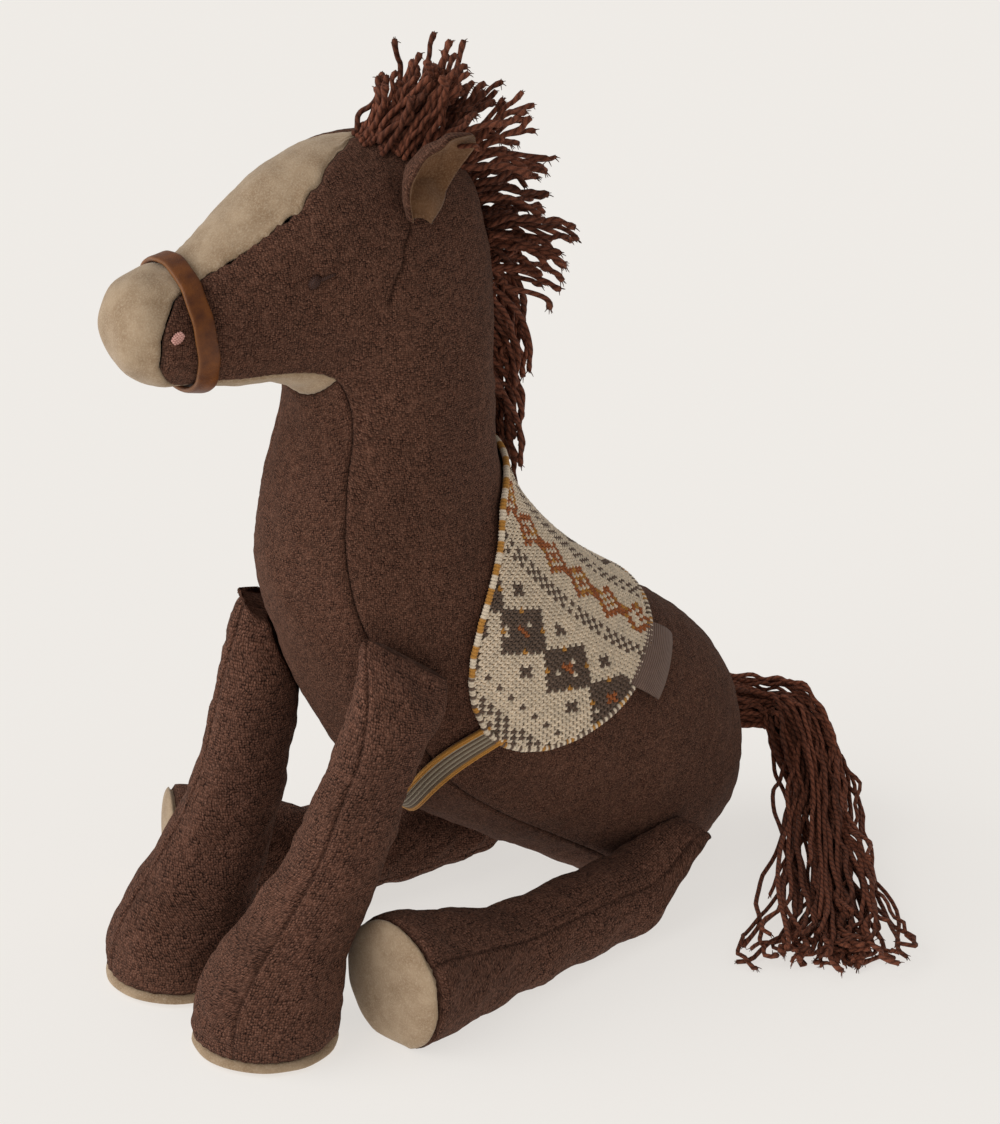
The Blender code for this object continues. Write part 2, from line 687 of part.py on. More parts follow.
def make_ears(tree, brown, lining):
    """Cupped ears: a brown back and a thinner lining in its hollow, sewn at the base."""
    for side, sign in SIDES.items():
        base = skin(8.65, sign * math.radians(62.0), CLOTH)
        away = skin(8.65, sign * math.radians(62.0), 2 * CLOTH) - base
        away /= np.linalg.norm(away)
        outward_share, back_share, up_share = EAR_LEAN[side]
        rise = away * outward_share + np.array([0.0, back_share, up_share])
        rise /= np.linalg.norm(rise)
        outward_share, back_share, up_share = EAR_FACING
        facing = np.array([sign * outward_share, back_share, up_share])
        facing -= rise * (facing @ rise)
        facing /= np.linalg.norm(facing)
        across = np.cross(rise, facing)
        height = np.linspace(0.0, 1.0, len(EAR_WIDTH_SHARES))[:, None]
        side_share = np.linspace(-1.0, 1.0, 9)[None, :]
        wide = EAR_WIDTH / 2 * np.array(EAR_WIDTH_SHARES)[:, None]
        fold = math.radians(EAR_FOLD_DEG) * (1.0 - 0.35 * height)
        radius = wide / np.sin(fold)
        sweep = side_share * fold
        line = base + rise * (height * EAR_LENGTH)[..., None]
        line = line - facing * (EAR_BOW * np.sin(math.pi * height))[..., None]
        hub = line + facing * (radius * np.cos(fold))[..., None]
        way = across * np.sin(sweep)[..., None] - facing * np.cos(sweep)[..., None]
        gaps = np.array([-EAR_LINING_GAP - CLOTH / 2, -EAR_LINING_GAP, 0.0, CLOTH])
        grids = hub + way * (radius + gaps[:, None, None])[..., None]
        shift = pressed(grids, tree, PRESS_GAP) - grids
        longest = np.linalg.norm(shift, axis=-1).argmax(axis=0)
        grids = grids + np.take_along_axis(shift, longest[None, ..., None], axis=0)
        solid = outward(*sheet_solid(grids[3], grids[2]))
        add_piece(f"ear_back_{side}", *solid, brown, origin=base)
        solid = outward(*sheet_solid(grids[1], grids[0]))
        add_piece(f"ear_lining_{side}", *solid, lining, origin=base)


def make_mane(yarn):
    """Closed outer shapes of the yarn: a fan over the forehead and a crest down the neck."""
    forelock = (STATION_FORELOCK, FORELOCK_HEIGHT_SHARES, FORELOCK_HEIGHT, FORELOCK_HALF_DEG)
    mane = (STATION_MANE, MANE_HEIGHT_SHARES, MANE_HEIGHT, MANE_HALF_DEG)
    for name, span in {"forelock": forelock, "mane": mane}.items():
        (start, end), height_shares, height, half_degrees = span
        stations = np.linspace(start, end, 2 * len(height_shares) - 1)
        share = np.linspace(0.0, 1.0, len(height_shares))
        place = (stations - start) / (end - start)
        rise = np.interp(place, share, height_shares) * height
        half = np.radians(np.interp(place, share, half_degrees))
        across = np.linspace(-1.0, 1.0, 9)
        angles = half[:, None] * across
        places = stations[:, None] + np.zeros(9)
        arch = np.sqrt(1.0 - (across * 0.96) ** 2)
        lean = np.interp(stations, STATIONS_UNDER_LEAN, (YARN_LEAN_SHARE, 0.0))[:, None]
        height = MANE_EDGE + (rise[:, None] - MANE_EDGE) * arch
        outer = skin(places, angles, LAY_GAP + height)
        outer[..., 1] += lean * height
        inner = skin(places, angles, LAY_GAP)
        add_piece(name, *outward(*sheet_solid(outer, inner)), yarn)


def make_tail(tree, yarn):
    """The tail's outer shape: out of the rump's seam, down to the floor and round to the left."""
    root_height = TAIL_ROOT_HEIGHT_SHARE * BODY_HEIGHT
    rows = np.array(TAIL_SHARES)
    path = np.empty((len(rows), 3))
    path[:, 0] = rows[:, 0] * TAIL_REACH_OUT
    path[:, 1] = rows[:, 1] * TAIL_REACH_BACK - rows[:, 2] * TAIL_END_AHEAD / 2
    path[:, 2] = rows[:, 3] * root_height
    path[0] = skin(23.35, 0.0, PRESS_GAP)
    along = np.gradient(path, axis=0)
    along /= np.linalg.norm(along, axis=1, keepdims=True)
    flat = np.cross(along, np.array([0.0, 0.0, 1.0]))
    flat /= np.linalg.norm(flat, axis=1, keepdims=True)
    thick = np.cross(flat, along)
    turn = (np.arange(10) + 0.5) * 2 * math.pi / 10
    rings = (
        path[:, None]
        + flat[:, None] * (np.cos(turn) * (rows[:, 4] * TAIL_WIDTH / 2)[:, None])[..., None]
        + thick[:, None] * (np.sin(turn) * (rows[:, 5] * TAIL_THICKNESS / 2)[:, None])[..., None]
    )
    rings = to_floor(pressed(rings, tree, PRESS_GAP, path[0], TAIL_PRESS_DEG, "Z"))
    add_piece("tail", *outward(*loft_solid(rings)), yarn, origin=path[0])


def blanket_half_angle(stations):
    """How far down from the spine the blanket reaches at its stations."""
    edges = np.concatenate([BLANKET_FRONT_STATIONS, BLANKET_REAR_STATIONS[::-1]])
    shares = np.concatenate([BLANKET_EDGE_SHARES, BLANKET_EDGE_SHARES[::-1]])
    return math.radians(BLANKET_REACH_DEG) * np.interp(stations, edges, shares)


def make_blanket(knit, tab, elastic):
    """The saddle blanket over the back, its woven tab and the elastic girth under the belly."""
    down = np.sin(np.linspace(-1.0, 1.0, 23) * math.radians(85.0))
    front = np.interp(np.abs(down), BLANKET_EDGE_SHARES, BLANKET_FRONT_STATIONS)
    rear = np.interp(np.abs(down), BLANKET_EDGE_SHARES, BLANKET_REAR_STATIONS)
    places = front[:, None] + (rear - front)[:, None] * np.linspace(0.0, 1.0, 11)
    angles = np.broadcast_to(math.radians(BLANKET_REACH_DEG) * down[:, None], places.shape)
    inner = skin(places, angles, LAY_GAP)
    outer = skin(places, angles, LAY_GAP + BLANKET_THICKNESS)
    add_piece("saddle_blanket", *outward(*sheet_solid(outer, inner)), knit)

    end = BLANKET_REAR_STATIONS[0]
    per_station = np.linalg.norm(
        section(np.array(end + 0.5), np.array(1.0)) - section(np.array(end - 0.5), np.array(1.0))
    )
    angles = np.radians(np.linspace(*LABEL_DEG, 5))
    reach = angles / math.radians(BLANKET_REACH_DEG)
    rear = np.interp(reach, BLANKET_EDGE_SHARES, BLANKET_REAR_STATIONS)
    out = PIECE_GAP + LABEL_WIDTH * np.linspace(0.0, 1.0, 4)[:, None]
    places = rear + out / per_station
    angles = np.broadcast_to(angles, places.shape)
    inner = skin(places, angles, LAY_GAP)
    outer = skin(places, angles, LAY_GAP + LABEL_THICKNESS)
    add_piece("label_tab", *outward(*sheet_solid(outer, inner)), tab)

    per_station = np.linalg.norm(
        section(np.array(STATION_GIRTH + 0.5), np.array(2.2))
        - section(np.array(STATION_GIRTH - 0.5), np.array(2.2))
    )
    wide = GIRTH_WIDTH / per_station
    girth_stations = np.linspace(STATION_GIRTH - wide / 2, STATION_GIRTH + wide / 2, 4)
    reach = math.pi - blanket_half_angle(girth_stations)
    reach = reach - 2 * PIECE_GAP / (TRUNK_WIDTH / 2)
    share = np.linspace(-1.0, 1.0, 19)
    angles = math.pi + reach[:, None] * share
    slip = np.cos(share * math.pi / 2) ** 2 * (1.0 + GIRTH_SLIP_RIGHT_SHARE * share)
    places = girth_stations[:, None] + GIRTH_SLIP_STATIONS * slip
    inner = skin(places, angles, LAY_GAP)
    outer = skin(places, angles, LAY_GAP + GIRTH_THICKNESS)
    add_piece("girth_elastic", *outward(*sheet_solid(outer, inner)), elastic)


LEG_SIDES = 14


def front_leg_rings(side, sign, inset, end_height):
    """Level rings of a front leg from its flat sewn top to the foot, pulled in by the inset."""
    rows = []
    for drop, forward, wide, deep in FRONT_LEG_SHARES:
        rows.append((drop, forward, wide * FRONT_LEG_RADIUS, deep * FRONT_LEG_RADIUS))
    for drop, forward, wide, deep in FRONT_FOOT_SHARES:
        rows.append((drop, forward, wide * FRONT_FOOT_RADIUS, deep * FRONT_FOOT_RADIUS))
    turn = (np.arange(LEG_SIDES) + 0.5) * 2 * math.pi / LEG_SIDES
    height = FRONT_ROOT_HEIGHT - end_height
    rings = []
    for index, (drop, forward, wide, deep) in enumerate(rows):
        forward = forward ** FRONT_LEG_BOW[side]
        out = FRONT_ROOT_OUT[side] + (FRONT_FOOT_OUT[side] - FRONT_ROOT_OUT[side]) * forward
        ahead = FRONT_ROOT_AHEAD + (FRONT_FOOT_AHEAD[side] - FRONT_ROOT_AHEAD) * forward
        ring = np.empty((LEG_SIDES, 3))
        top = min(drop / FRONT_TOP_SHARE, 1.0)
        top = 1.0 - top * top * (3.0 - 2.0 * top)
        across = (wide - min(inset, wide * 0.6)) * np.cos(turn)
        along = (deep - min(inset, deep * 0.6)) * np.sin(turn)
        skew = math.radians(FRONT_TOP_TURN_DEG) * top
        ring[:, 0] = sign * (out + across * math.cos(skew) + along * math.sin(skew))
        ring[:, 1] = -ahead + along * math.cos(skew) - across * math.sin(skew)
        ring[:, 1] += FRONT_TOP_BACK * top
        ring[:, 2] = FRONT_ROOT_HEIGHT - drop * height - along * FRONT_TOP_SLOPE_SHARE * top
        if index == 0:
            ring[:, 2] -= inset
        rings.append(ring)
    return np.array(rings)


def hind_leg_rings(side, sign, inset):
    """Upright rings of a hind leg from its flat sewn end at the hip to the foot."""
    rows = []
    for along, wide, high in HIND_LEG_SHARES:
        rows.append((along, wide * HIND_LEG_RADIUS, high * HIND_LEG_RADIUS))
    for along, wide, high in HIND_FOOT_SHARES:
        rows.append((along, wide * HIND_FOOT_RADIUS, high * HIND_FOOT_RADIUS))
    root = np.array([sign * HIND_ROOT_OUT, -HIND_ROOT_AHEAD])
    foot = np.array([sign * HIND_FOOT_OUT[side], -HIND_FOOT_AHEAD])
    length = np.linalg.norm(foot - root)
    inward = np.array([-sign * HIND_LEG_BOW[side], 0.0])
    turn = (np.arange(LEG_SIDES) + 0.5) * 2 * math.pi / LEG_SIDES
    rings = []
    for index, (along, wide, high) in enumerate(rows):
        settle = min(along / HIND_DROP_SHARE, 1.0)
        settle = settle * settle * (3.0 - 2.0 * settle)
        middle = HIND_ROOT_HEIGHT + (high - FLOOR_CUT - HIND_ROOT_HEIGHT) * settle
        share = along
        if index == 0:
            share += inset / length
        middle_point = root + (foot - root) * share + inward * math.sin(math.pi * share)
        ahead = foot - root + inward * math.pi * math.cos(math.pi * share)
        ahead /= np.linalg.norm(ahead)
        across = np.array([-ahead[1], ahead[0]])
        room = min(inset, high * 0.6)
        ring = np.empty((LEG_SIDES, 3))
        ring[:, :2] = middle_point + across * ((wide - inset) * np.cos(turn))[:, None]
        ring[:, 2] = middle + (high - room) * np.sin(turn)
        rings.append(to_floor(ring, inset))
    return np.array(rings)


def leg_layers(rings_of, tree, hinge, swing_range, empty_rings):
    """Rings of a leg's outer cloth, its inner cloth and its filling, all moved clear of the body.

    The filling starts below the sewn end, whose first rings are left empty and bend there.
    """
    plain = rings_of(0.0)
    outer = pressed(plain, tree, PRESS_GAP, hinge, (*swing_range, 0.0))
    moved = outer - plain
    depth = CLOTH + LEG_FILLING_GAP
    inner = to_floor(rings_of(CLOTH) + moved, CLOTH)
    core = to_floor(rings_of(depth) + moved, depth)
    return to_floor(outer), inner, core[empty_rings:]


def make_front_leg(side, sign, tree, cloth, velour, stuffing):
    hinge = np.array([sign * FRONT_ROOT_OUT[side], -FRONT_ROOT_AHEAD, FRONT_ROOT_HEIGHT])
    end = FRONT_SOLE_THICKNESS + PIECE_GAP
    outer, inner, core = leg_layers(
        lambda inset: front_leg_rings(side, sign, inset, end), tree, hinge, FRONT_SWING_DEG, 3
    )
    name = f"front_leg_{side}"
    add_piece(f"{name}_skin", *outward(*cup_solid(outer, inner)), cloth, origin=hinge)
    add_piece(f"{name}_filling", *outward(*loft_solid(core)), stuffing, origin=hinge)
    sole = outer[-1].copy()
    middle = sole.mean(axis=0)
    rings = []
    for height_share, size_share in ((1.0, 1.0), (0.4, 1.0), (0.1, 0.96), (0.0, 0.9)):
        ring = middle + (sole - middle) * size_share
        ring[:, 2] = FRONT_SOLE_THICKNESS * height_share
        rings.append(ring)
    add_piece(f"{name}_sole", *outward(*loft_solid(np.array(rings))), velour, origin=hinge)


def make_hind_leg(side, sign, tree, cloth, velour, stuffing):
    hinge = np.array([sign * HIND_ROOT_OUT, -HIND_ROOT_AHEAD, HIND_ROOT_HEIGHT])
    outer, inner, core = leg_layers(
        lambda inset: hind_leg_rings(side, sign, inset), tree, hinge, HIND_SWING_DEG, 2
    )
    name = f"hind_leg_{side}"
    add_piece(f"{name}_skin", *outward(*cup_solid(outer, inner)), cloth, origin=hinge)
    add_piece(f"{name}_filling", *outward(*loft_solid(core)), stuffing, origin=hinge)
    sole = outer[-1]
    middle = sole.mean(axis=0)
    forward = middle - outer[-2].mean(axis=0)
    forward[2] = 0.0
    forward /= np.linalg.norm(forward)
    rings = []
    for thick_share, size_share in ((0.0, 1.0), (0.5, 0.98), (0.85, 0.9), (1.0, 0.72)):
        ring = middle + (sole - middle) * size_share
        ring += forward * (PIECE_GAP + HIND_SOLE_THICKNESS * thick_share)
        rings.append(to_floor(ring))
    add_piece(f"{name}_sole", *outward(*loft_solid(np.array(rings))), velour, origin=hinge)


def main():
    clear_scene()
    wool = material("brown_wool", BROWN_WOOL, 0.95)
    tweed = material("brown_tweed", BROWN_TWEED, 0.95)
    velour = material("beige_velour", BEIGE_VELOUR, 0.95)
    leather = material("tan_leather", TAN_LEATHER, 0.45)
    lining = material("ear_lining", EAR_LINING, 0.95)
    yarn = material("mane_yarn", YARN, 0.85)
    knit = material("patterned_knit", KNIT, 0.95)
    elastic = material("girth_elastic", ELASTIC, 0.8)
    tab = material("woven_tab", WOVEN_TAB, 0.85)
    pink = material("pink_thread", PINK_THREAD, 0.6)
    dark = material("dark_thread", DARK_THREAD, 0.6)
    stuffing = material("polyester_filling", POLYESTER, 1.0)

    tree = body_tree()
    make_side_panels(wool)
    make_middle_panels(wool, velour)
    make_muzzle_cap(velour)
    make_body_fillings(stuffing)
    make_noseband(leather)
    make_face_stitches(pink, dark)
    make_ears(tree, wool, lining)
    make_mane(yarn)
    make_tail(tree, yarn)
    make_blanket(knit, tab, elastic)
    for side, sign in SIDES.items():
        make_front_leg(side, sign, tree, tweed, velour, stuffing)
        make_hind_leg(side, sign, tree, tweed, velour, stuffing)


main()
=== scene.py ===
"""Looks of the sitting plush horse, in metres: cloth panels, stuffed legs, yarn, knitted blanket.

The horse looks along -Y and +X is its left side. The skin of body and head is one surface: a
station number runs along it from the muzzle (0) to the end of the rump, and an angle runs round it
from the back line (0) by the left side (90 degrees) to the belly line (180).
"""

import math

import bpy
import numpy as np
from mathutils import Matrix


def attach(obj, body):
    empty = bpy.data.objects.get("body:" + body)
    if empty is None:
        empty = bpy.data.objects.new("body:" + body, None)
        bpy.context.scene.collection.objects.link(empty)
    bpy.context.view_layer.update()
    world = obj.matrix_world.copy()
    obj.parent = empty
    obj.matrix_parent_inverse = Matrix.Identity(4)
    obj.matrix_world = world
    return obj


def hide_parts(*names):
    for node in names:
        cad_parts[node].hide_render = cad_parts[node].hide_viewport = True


MM = 0.001

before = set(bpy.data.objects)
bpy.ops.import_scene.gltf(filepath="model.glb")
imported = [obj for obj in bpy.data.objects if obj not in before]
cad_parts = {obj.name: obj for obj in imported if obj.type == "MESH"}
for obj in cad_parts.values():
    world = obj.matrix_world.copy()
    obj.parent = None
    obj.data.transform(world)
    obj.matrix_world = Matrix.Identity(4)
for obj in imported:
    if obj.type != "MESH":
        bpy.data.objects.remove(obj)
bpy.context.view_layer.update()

# Sizes of the body and the legs, as the part has them
BODY_REACH = 163.5 * MM
BODY_HEIGHT = 241.0 * MM
TRUNK_WIDTH = 81.0 * MM
HEAD_WIDTH = 58.0 * MM
HEAD_YAW_DEG = 11.0
CLOTH = 1.2 * MM
LAY_GAP = 0.9 * MM
PRESS_GAP = 0.7 * MM
TAIL_REACH_OUT = 93.0 * MM
TAIL_REACH_BACK = 62.0 * MM
TAIL_END_AHEAD = 48.0 * MM
TAIL_WIDTH = 38.0 * MM
TAIL_THICKNESS = 12.0 * MM
TAIL_ROOT_HEIGHT_SHARE = 0.158
BLANKET_REACH_DEG = 116.3
GIRTH_WIDTH = 8.0 * MM
LABEL_WIDTH = 11.0 * MM
FRONT_ROOT_OUT = {"left": 33.0 * MM, "right": 27.0 * MM}
FRONT_ROOT_AHEAD = 106.0 * MM
FRONT_ROOT_HEIGHT = 106.0 * MM
FRONT_FOOT_AHEAD = {"left": 145.0 * MM, "right": 142.0 * MM}
FRONT_FOOT_OUT = {"left": 22.0 * MM, "right": 24.0 * MM}
FRONT_LEG_BOW = {"left": 1.0, "right": 1.45}
FRONT_LEG_RADIUS = 12.5 * MM
FRONT_FOOT_RADIUS = 20.6 * MM
FRONT_SOLE_THICKNESS = 3.2 * MM
HIND_ROOT_OUT = 36.0 * MM
HIND_ROOT_AHEAD = 5.0 * MM
HIND_ROOT_HEIGHT = 26.0 * MM
HIND_FOOT_AHEAD = 118.0 * MM
HIND_FOOT_OUT = {"left": 45.0 * MM, "right": 58.0 * MM}
HIND_LEG_BOW = {"left": 0.0, "right": 14.0 * MM}
HIND_LEG_RADIUS = 12.5 * MM
HIND_FOOT_RADIUS = 19.3 * MM
HIND_SOLE_THICKNESS = 1.8 * MM
HIND_DROP_SHARE = 0.22
FLOOR_CUT = 1.6 * MM
PIECE_GAP = 0.3 * MM
FRONT_SWING_DEG = (-55.0, 0.0)
HIND_SWING_DEG = (0.0, 80.0)
# The turns of the tail for which its strands are moved clear of the rump
TAIL_PRESS_DEG = (60.0, 40.0, 20.0, 0.0)
STATION_TAIL = 23.35
TAIL_ROOT_STATIONS = 0.95

# Side outline: back line ahead and up, belly line ahead and up, width, as shares
HEAD_OUTLINE_SHARES = [
    (1.000, 0.822, 1.000, 0.822, 0.00),
    (0.993, 0.848, 0.993, 0.797, 0.26),
    (0.969, 0.871, 0.972, 0.770, 0.45),
    (0.924, 0.881, 0.930, 0.754, 0.56),
    (0.868, 0.889, 0.881, 0.750, 0.59),
    (0.801, 0.923, 0.820, 0.742, 0.66),
    (0.722, 0.965, 0.758, 0.737, 0.79),
    (0.636, 0.992, 0.713, 0.732, 0.91),
    (0.544, 0.998, 0.685, 0.722, 0.98),
    (0.446, 0.988, 0.676, 0.707, 1.00),
]
NECK_AND_TRUNK_OUTLINE_SHARES = [
    (0.373, 0.946, 0.676, 0.689, 0.715),
    (0.339, 0.880, 0.682, 0.666, 0.715),
    (0.330, 0.797, 0.697, 0.635, 0.730),
    (0.330, 0.705, 0.716, 0.598, 0.755),
    (0.324, 0.627, 0.734, 0.548, 0.790),
    (0.294, 0.568, 0.737, 0.490, 0.840),
    (0.245, 0.521, 0.709, 0.423, 0.900),
    (0.177, 0.473, 0.648, 0.328, 0.950),
    (0.104, 0.432, 0.563, 0.232, 0.990),
    (0.031, 0.398, 0.440, 0.160, 1.000),
    (-0.047, 0.363, 0.306, 0.100, 1.000),
    (-0.122, 0.325, 0.190, 0.050, 0.970),
    (-0.191, 0.277, 0.090, 0.006, 0.890),
    (-0.239, 0.214, 0.000, -0.012, 0.735),
    (-0.251, 0.147, -0.088, -0.012, 0.535),
    (-0.243, 0.093, -0.150, -0.004, 0.330),
    (-0.223, 0.054, -0.184, 0.013, 0.160),
    (-0.205, 0.031, -0.205, 0.031, 0.00),
]

STATION_MUZZLE_SEAM = 2.6
STATION_CAP_END = 3.7
STATION_CAP_END_BELOW = 4.2
STATION_NOSEBAND = 3.66
NOSEBAND_LEAN_STATIONS = 0.6
STATION_THROAT = 8.5
STATION_POLL = 7.95
STATION_YAW_FULL = 8.0
STATION_YAW_NONE = 13.0
STATION_RUMP_END = 26.88
STATION_GUSSET_END = 26.0
STATION_GIRTH = 17.62
GIRTH_SLIP_STATIONS = 1.0
GIRTH_SLIP_RIGHT_SHARE = 0.8
GIRTH_MEASURE_ANGLE = 2.2
STATION_DART = 8.5

# The blanket's outline on the skin: its front and rear edge at shares of its reach from the spine
BLANKET_EDGE_SHARES = (0.0, 0.344, 0.499, 0.602, 0.705, 0.825, 0.903, 0.954, 0.985, 1.0)
BLANKET_FRONT_STATIONS = (14.10, 14.20, 14.53, 15.10, 15.57, 16.08, 16.46, 16.79, 17.12, 17.50)
BLANKET_REAR_STATIONS = (19.20, 19.16, 19.05, 18.97, 18.82, 18.55, 18.30, 18.04, 17.80, 17.52)
LABEL_DEG = (41.0, 70.0)

BLAZE_HALF_DEG = (
    [2.6, 2.85, 3.22, 3.7, 4.2, 5.0, 5.6, 6.25, 6.66, 7.02, 7.64, 7.95],
    [86.0, 66.0, 47.0, 38.0, 36.5, 42.0, 43.5, 42.0, 33.0, 23.5, 6.0, 3.0],
)
CHIN_HALF_DEG = (
    [2.6, 2.85, 3.22, 3.7, 4.2, 4.6, 8.5],
    [62.0, 48.0, 32.0, 22.0, 21.0, 33.0, 40.0],
)
GUSSET_HALF_DEG = (
    [8.5, 10.9, 12.3, 13.3, 14.7, 16.0, 18.0, 21.0, 24.0, 25.4, 26.0],
    [40.0, 37.0, 34.5, 36.5, 40.0, 41.0, 39.0, 36.0, 30.0, 20.0, 12.0],
)

# The sewn edge of a front leg lies along the body's side: turned outwards and lower at the back.
FRONT_TOP_TURN_DEG = 28.0
FRONT_TOP_SLOPE_SHARE = 0.66
FRONT_TOP_BACK = 2.4 * MM
FRONT_TOP_SHARE = 0.27

# Leg shapes. Front: drop, way forward, half width, half depth. Hind: way, half width, half height.
FRONT_LEG_SHARES = [
    (0.000, 0.00, 0.18, 0.90),
    (0.040, 0.00, 0.48, 0.97),
    (0.085, 0.01, 0.72, 0.97),
    (0.140, 0.04, 0.86, 0.96),
    (0.210, 0.11, 0.95, 0.97),
    (0.330, 0.25, 0.96, 1.00),
    (0.500, 0.42, 1.02, 1.08),
]
FRONT_FOOT_SHARES = [
    (0.640, 0.62, 0.70, 0.75),
    (0.760, 0.82, 0.82, 0.86),
    (0.860, 0.94, 0.94, 0.95),
    (0.930, 0.98, 1.00, 0.97),
    (1.000, 1.00, 0.99, 0.94),
]
HIND_LEG_SHARES = [
    (0.000, 1.00, 0.20),
    (0.050, 1.02, 0.48),
    (0.110, 1.02, 0.76),
    (0.190, 0.98, 0.96),
    (0.350, 0.94, 1.02),
    (0.600, 0.98, 1.04),
]
HIND_FOOT_SHARES = [
    (0.760, 0.72, 0.80),
    (0.860, 0.82, 0.90),
    (0.930, 0.91, 0.98),
    (0.975, 0.95, 1.00),
    (1.000, 0.94, 0.99),
]
TAIL_SHARES = [
    (0.00, 0.82, 0.00, 1.00, 0.28, 0.60),
    (0.03, 0.92, 0.00, 1.00, 0.34, 1.00),
    (0.11, 1.00, 0.00, 0.94, 0.46, 1.50),
    (0.22, 1.00, 0.03, 0.69, 0.56, 1.70),
    (0.36, 0.90, 0.06, 0.43, 0.64, 1.60),
    (0.54, 0.70, 0.18, 0.24, 0.72, 1.25),
    (0.80, 0.45, 0.42, 0.155, 0.90, 0.95),
    (0.95, 0.30, 0.60, 0.130, 1.00, 0.80),
    (1.00, 0.27, 0.68, 0.110, 0.90, 0.60),
]
SIDES = {"left": 1.0, "right": -1.0}

# Seams and stuffing
SEAM_DEPTH = 0.6 * MM
SEAM_WIDTH = 0.75 * MM
PUCKER_PITCH = 2.7 * MM
PUCKER_HEIGHT = 0.16 * MM
STUFFING_LUMP = 0.35 * MM
MESH_STEP = 1.3 * MM


def along_table(table, place):
    """Values of a table between its rows, on a smooth curve through them (Catmull-Rom)."""
    table = np.asarray(table, float)
    place = np.clip(np.asarray(place, float), 0.0, len(table) - 1.0)
    row = np.minimum(place.astype(int), len(table) - 2)
    part = (place - row)[..., None]
    before = table[np.maximum(row - 1, 0)]
    start = table[row]
    end = table[row + 1]
    after = table[np.minimum(row + 2, len(table) - 1)]
    bend = 2.0 * before - 5.0 * start + 4.0 * end - after
    twist = 3.0 * (start - end) + after - before
    return start + 0.5 * part * ((end - before) + part * (bend + part * twist))


def body_outline():
    """The side outline in metres: back line (Y, Z), belly line (Y, Z) and half width."""
    head = np.array(HEAD_OUTLINE_SHARES)
    rest = np.array(NECK_AND_TRUNK_OUTLINE_SHARES)
    rows = np.concatenate([head, rest])
    rows[:, [0, 2]] *= -BODY_REACH
    rows[:, [1, 3]] *= BODY_HEIGHT
    rows[: len(head), 4] *= HEAD_WIDTH / 2
    rows[len(head) :, 4] *= TRUNK_WIDTH / 2
    return rows


OUTLINE = body_outline()
LAST_STATION = len(OUTLINE) - 1.0
STATION_STEP = 0.02
NECK_ROW = len(HEAD_OUTLINE_SHARES)


def section(station, angle):
    """A point of the skin: an ellipse between the back line and the belly line at a station."""
    row = along_table(OUTLINE, station)
    back = row[..., 0:2]
    belly = row[..., 2:4]
    middle = (back + belly) / 2
    upright = (back - belly) / 2 * np.cos(angle)[..., None]
    points = np.empty(np.shape(angle) + (3,))
    points[..., 0] = row[..., 4] * np.sin(angle)
    points[..., 1:] = middle + upright
    share = (STATION_YAW_NONE - station) / (STATION_YAW_NONE - STATION_YAW_FULL)
    share = np.clip(share, 0.0, 1.0)
    turn = -math.radians(HEAD_YAW_DEG) * share * share * (3.0 - 2.0 * share)
    neck = (OUTLINE[NECK_ROW, 0] + OUTLINE[NECK_ROW, 2]) / 2
    ahead = points[..., 1] - neck
    side = points[..., 0].copy()
    points[..., 0] = side * np.cos(turn) - ahead * np.sin(turn)
    points[..., 1] = neck + side * np.sin(turn) + ahead * np.cos(turn)
    return points


def unit(vectors):
    return vectors / np.maximum(np.linalg.norm(vectors, axis=-1, keepdims=True), 1e-12)


def skin_frame(station, angle):
    """The skin's point, outward normal, direction towards the rump and direction round it."""
    station, angle = np.broadcast_arrays(np.asarray(station, float), np.asarray(angle, float))
    station = np.clip(station, 2 * STATION_STEP, LAST_STATION - 2 * STATION_STEP)
    here = section(station, angle)
    along = section(station + STATION_STEP, angle) - section(station - STATION_STEP, angle)
    step = math.radians(0.5)
    round_it = section(station, angle + step) - section(station, angle - step)
    return here, unit(np.cross(round_it, along)), unit(along), unit(round_it)


def skin(station, angle, out):
    """Points at a distance out from the skin, along its normal."""
    here, normal, _, _ = skin_frame(station, angle)
    return here + normal * np.asarray(out)[..., None]


def metres_per_station(station, angle):
    """Length on the skin of the one station round this one, at an angle round the body."""
    ends = np.array([station - 0.5, station + 0.5])
    return np.linalg.norm(np.diff(section(ends, np.full(2, angle)), axis=0))


def smooth_share(share):
    """A share from 0 to 1 that starts and ends level: three squares less two cubes."""
    return share * share * (3.0 - 2.0 * share)


def to_floor(points, above=0.0):
    """Flatten what would reach below the floor onto it, or onto a height above it."""
    points = np.array(points)
    points[..., 2] = np.maximum(points[..., 2], above)
    return points


def half_angle(table, stations):
    return np.radians(np.interp(stations, table[0], table[1]))


def lumps(points, size, seed):
    """A smooth uneven field of about -1 to 1: seven plane waves of nearly one length, added up."""
    draw = np.random.default_rng(seed)
    ways = unit(draw.normal(size=(7, 3))) * (2 * math.pi / size / draw.uniform(0.7, 1.4, (7, 1)))
    starts = draw.uniform(0.0, 2 * math.pi, 7)
    return np.sin(points @ ways.T + starts).sum(axis=-1) / 3.0


def arc_lengths(points, axis):
    """Length along a grid of points from its first row or column to each point."""
    steps = np.linalg.norm(np.diff(points, axis=axis), axis=-1)
    pad = [(0, 0), (0, 0)]
    pad[axis] = (1, 0)
    return np.pad(np.cumsum(steps, axis=axis), pad)


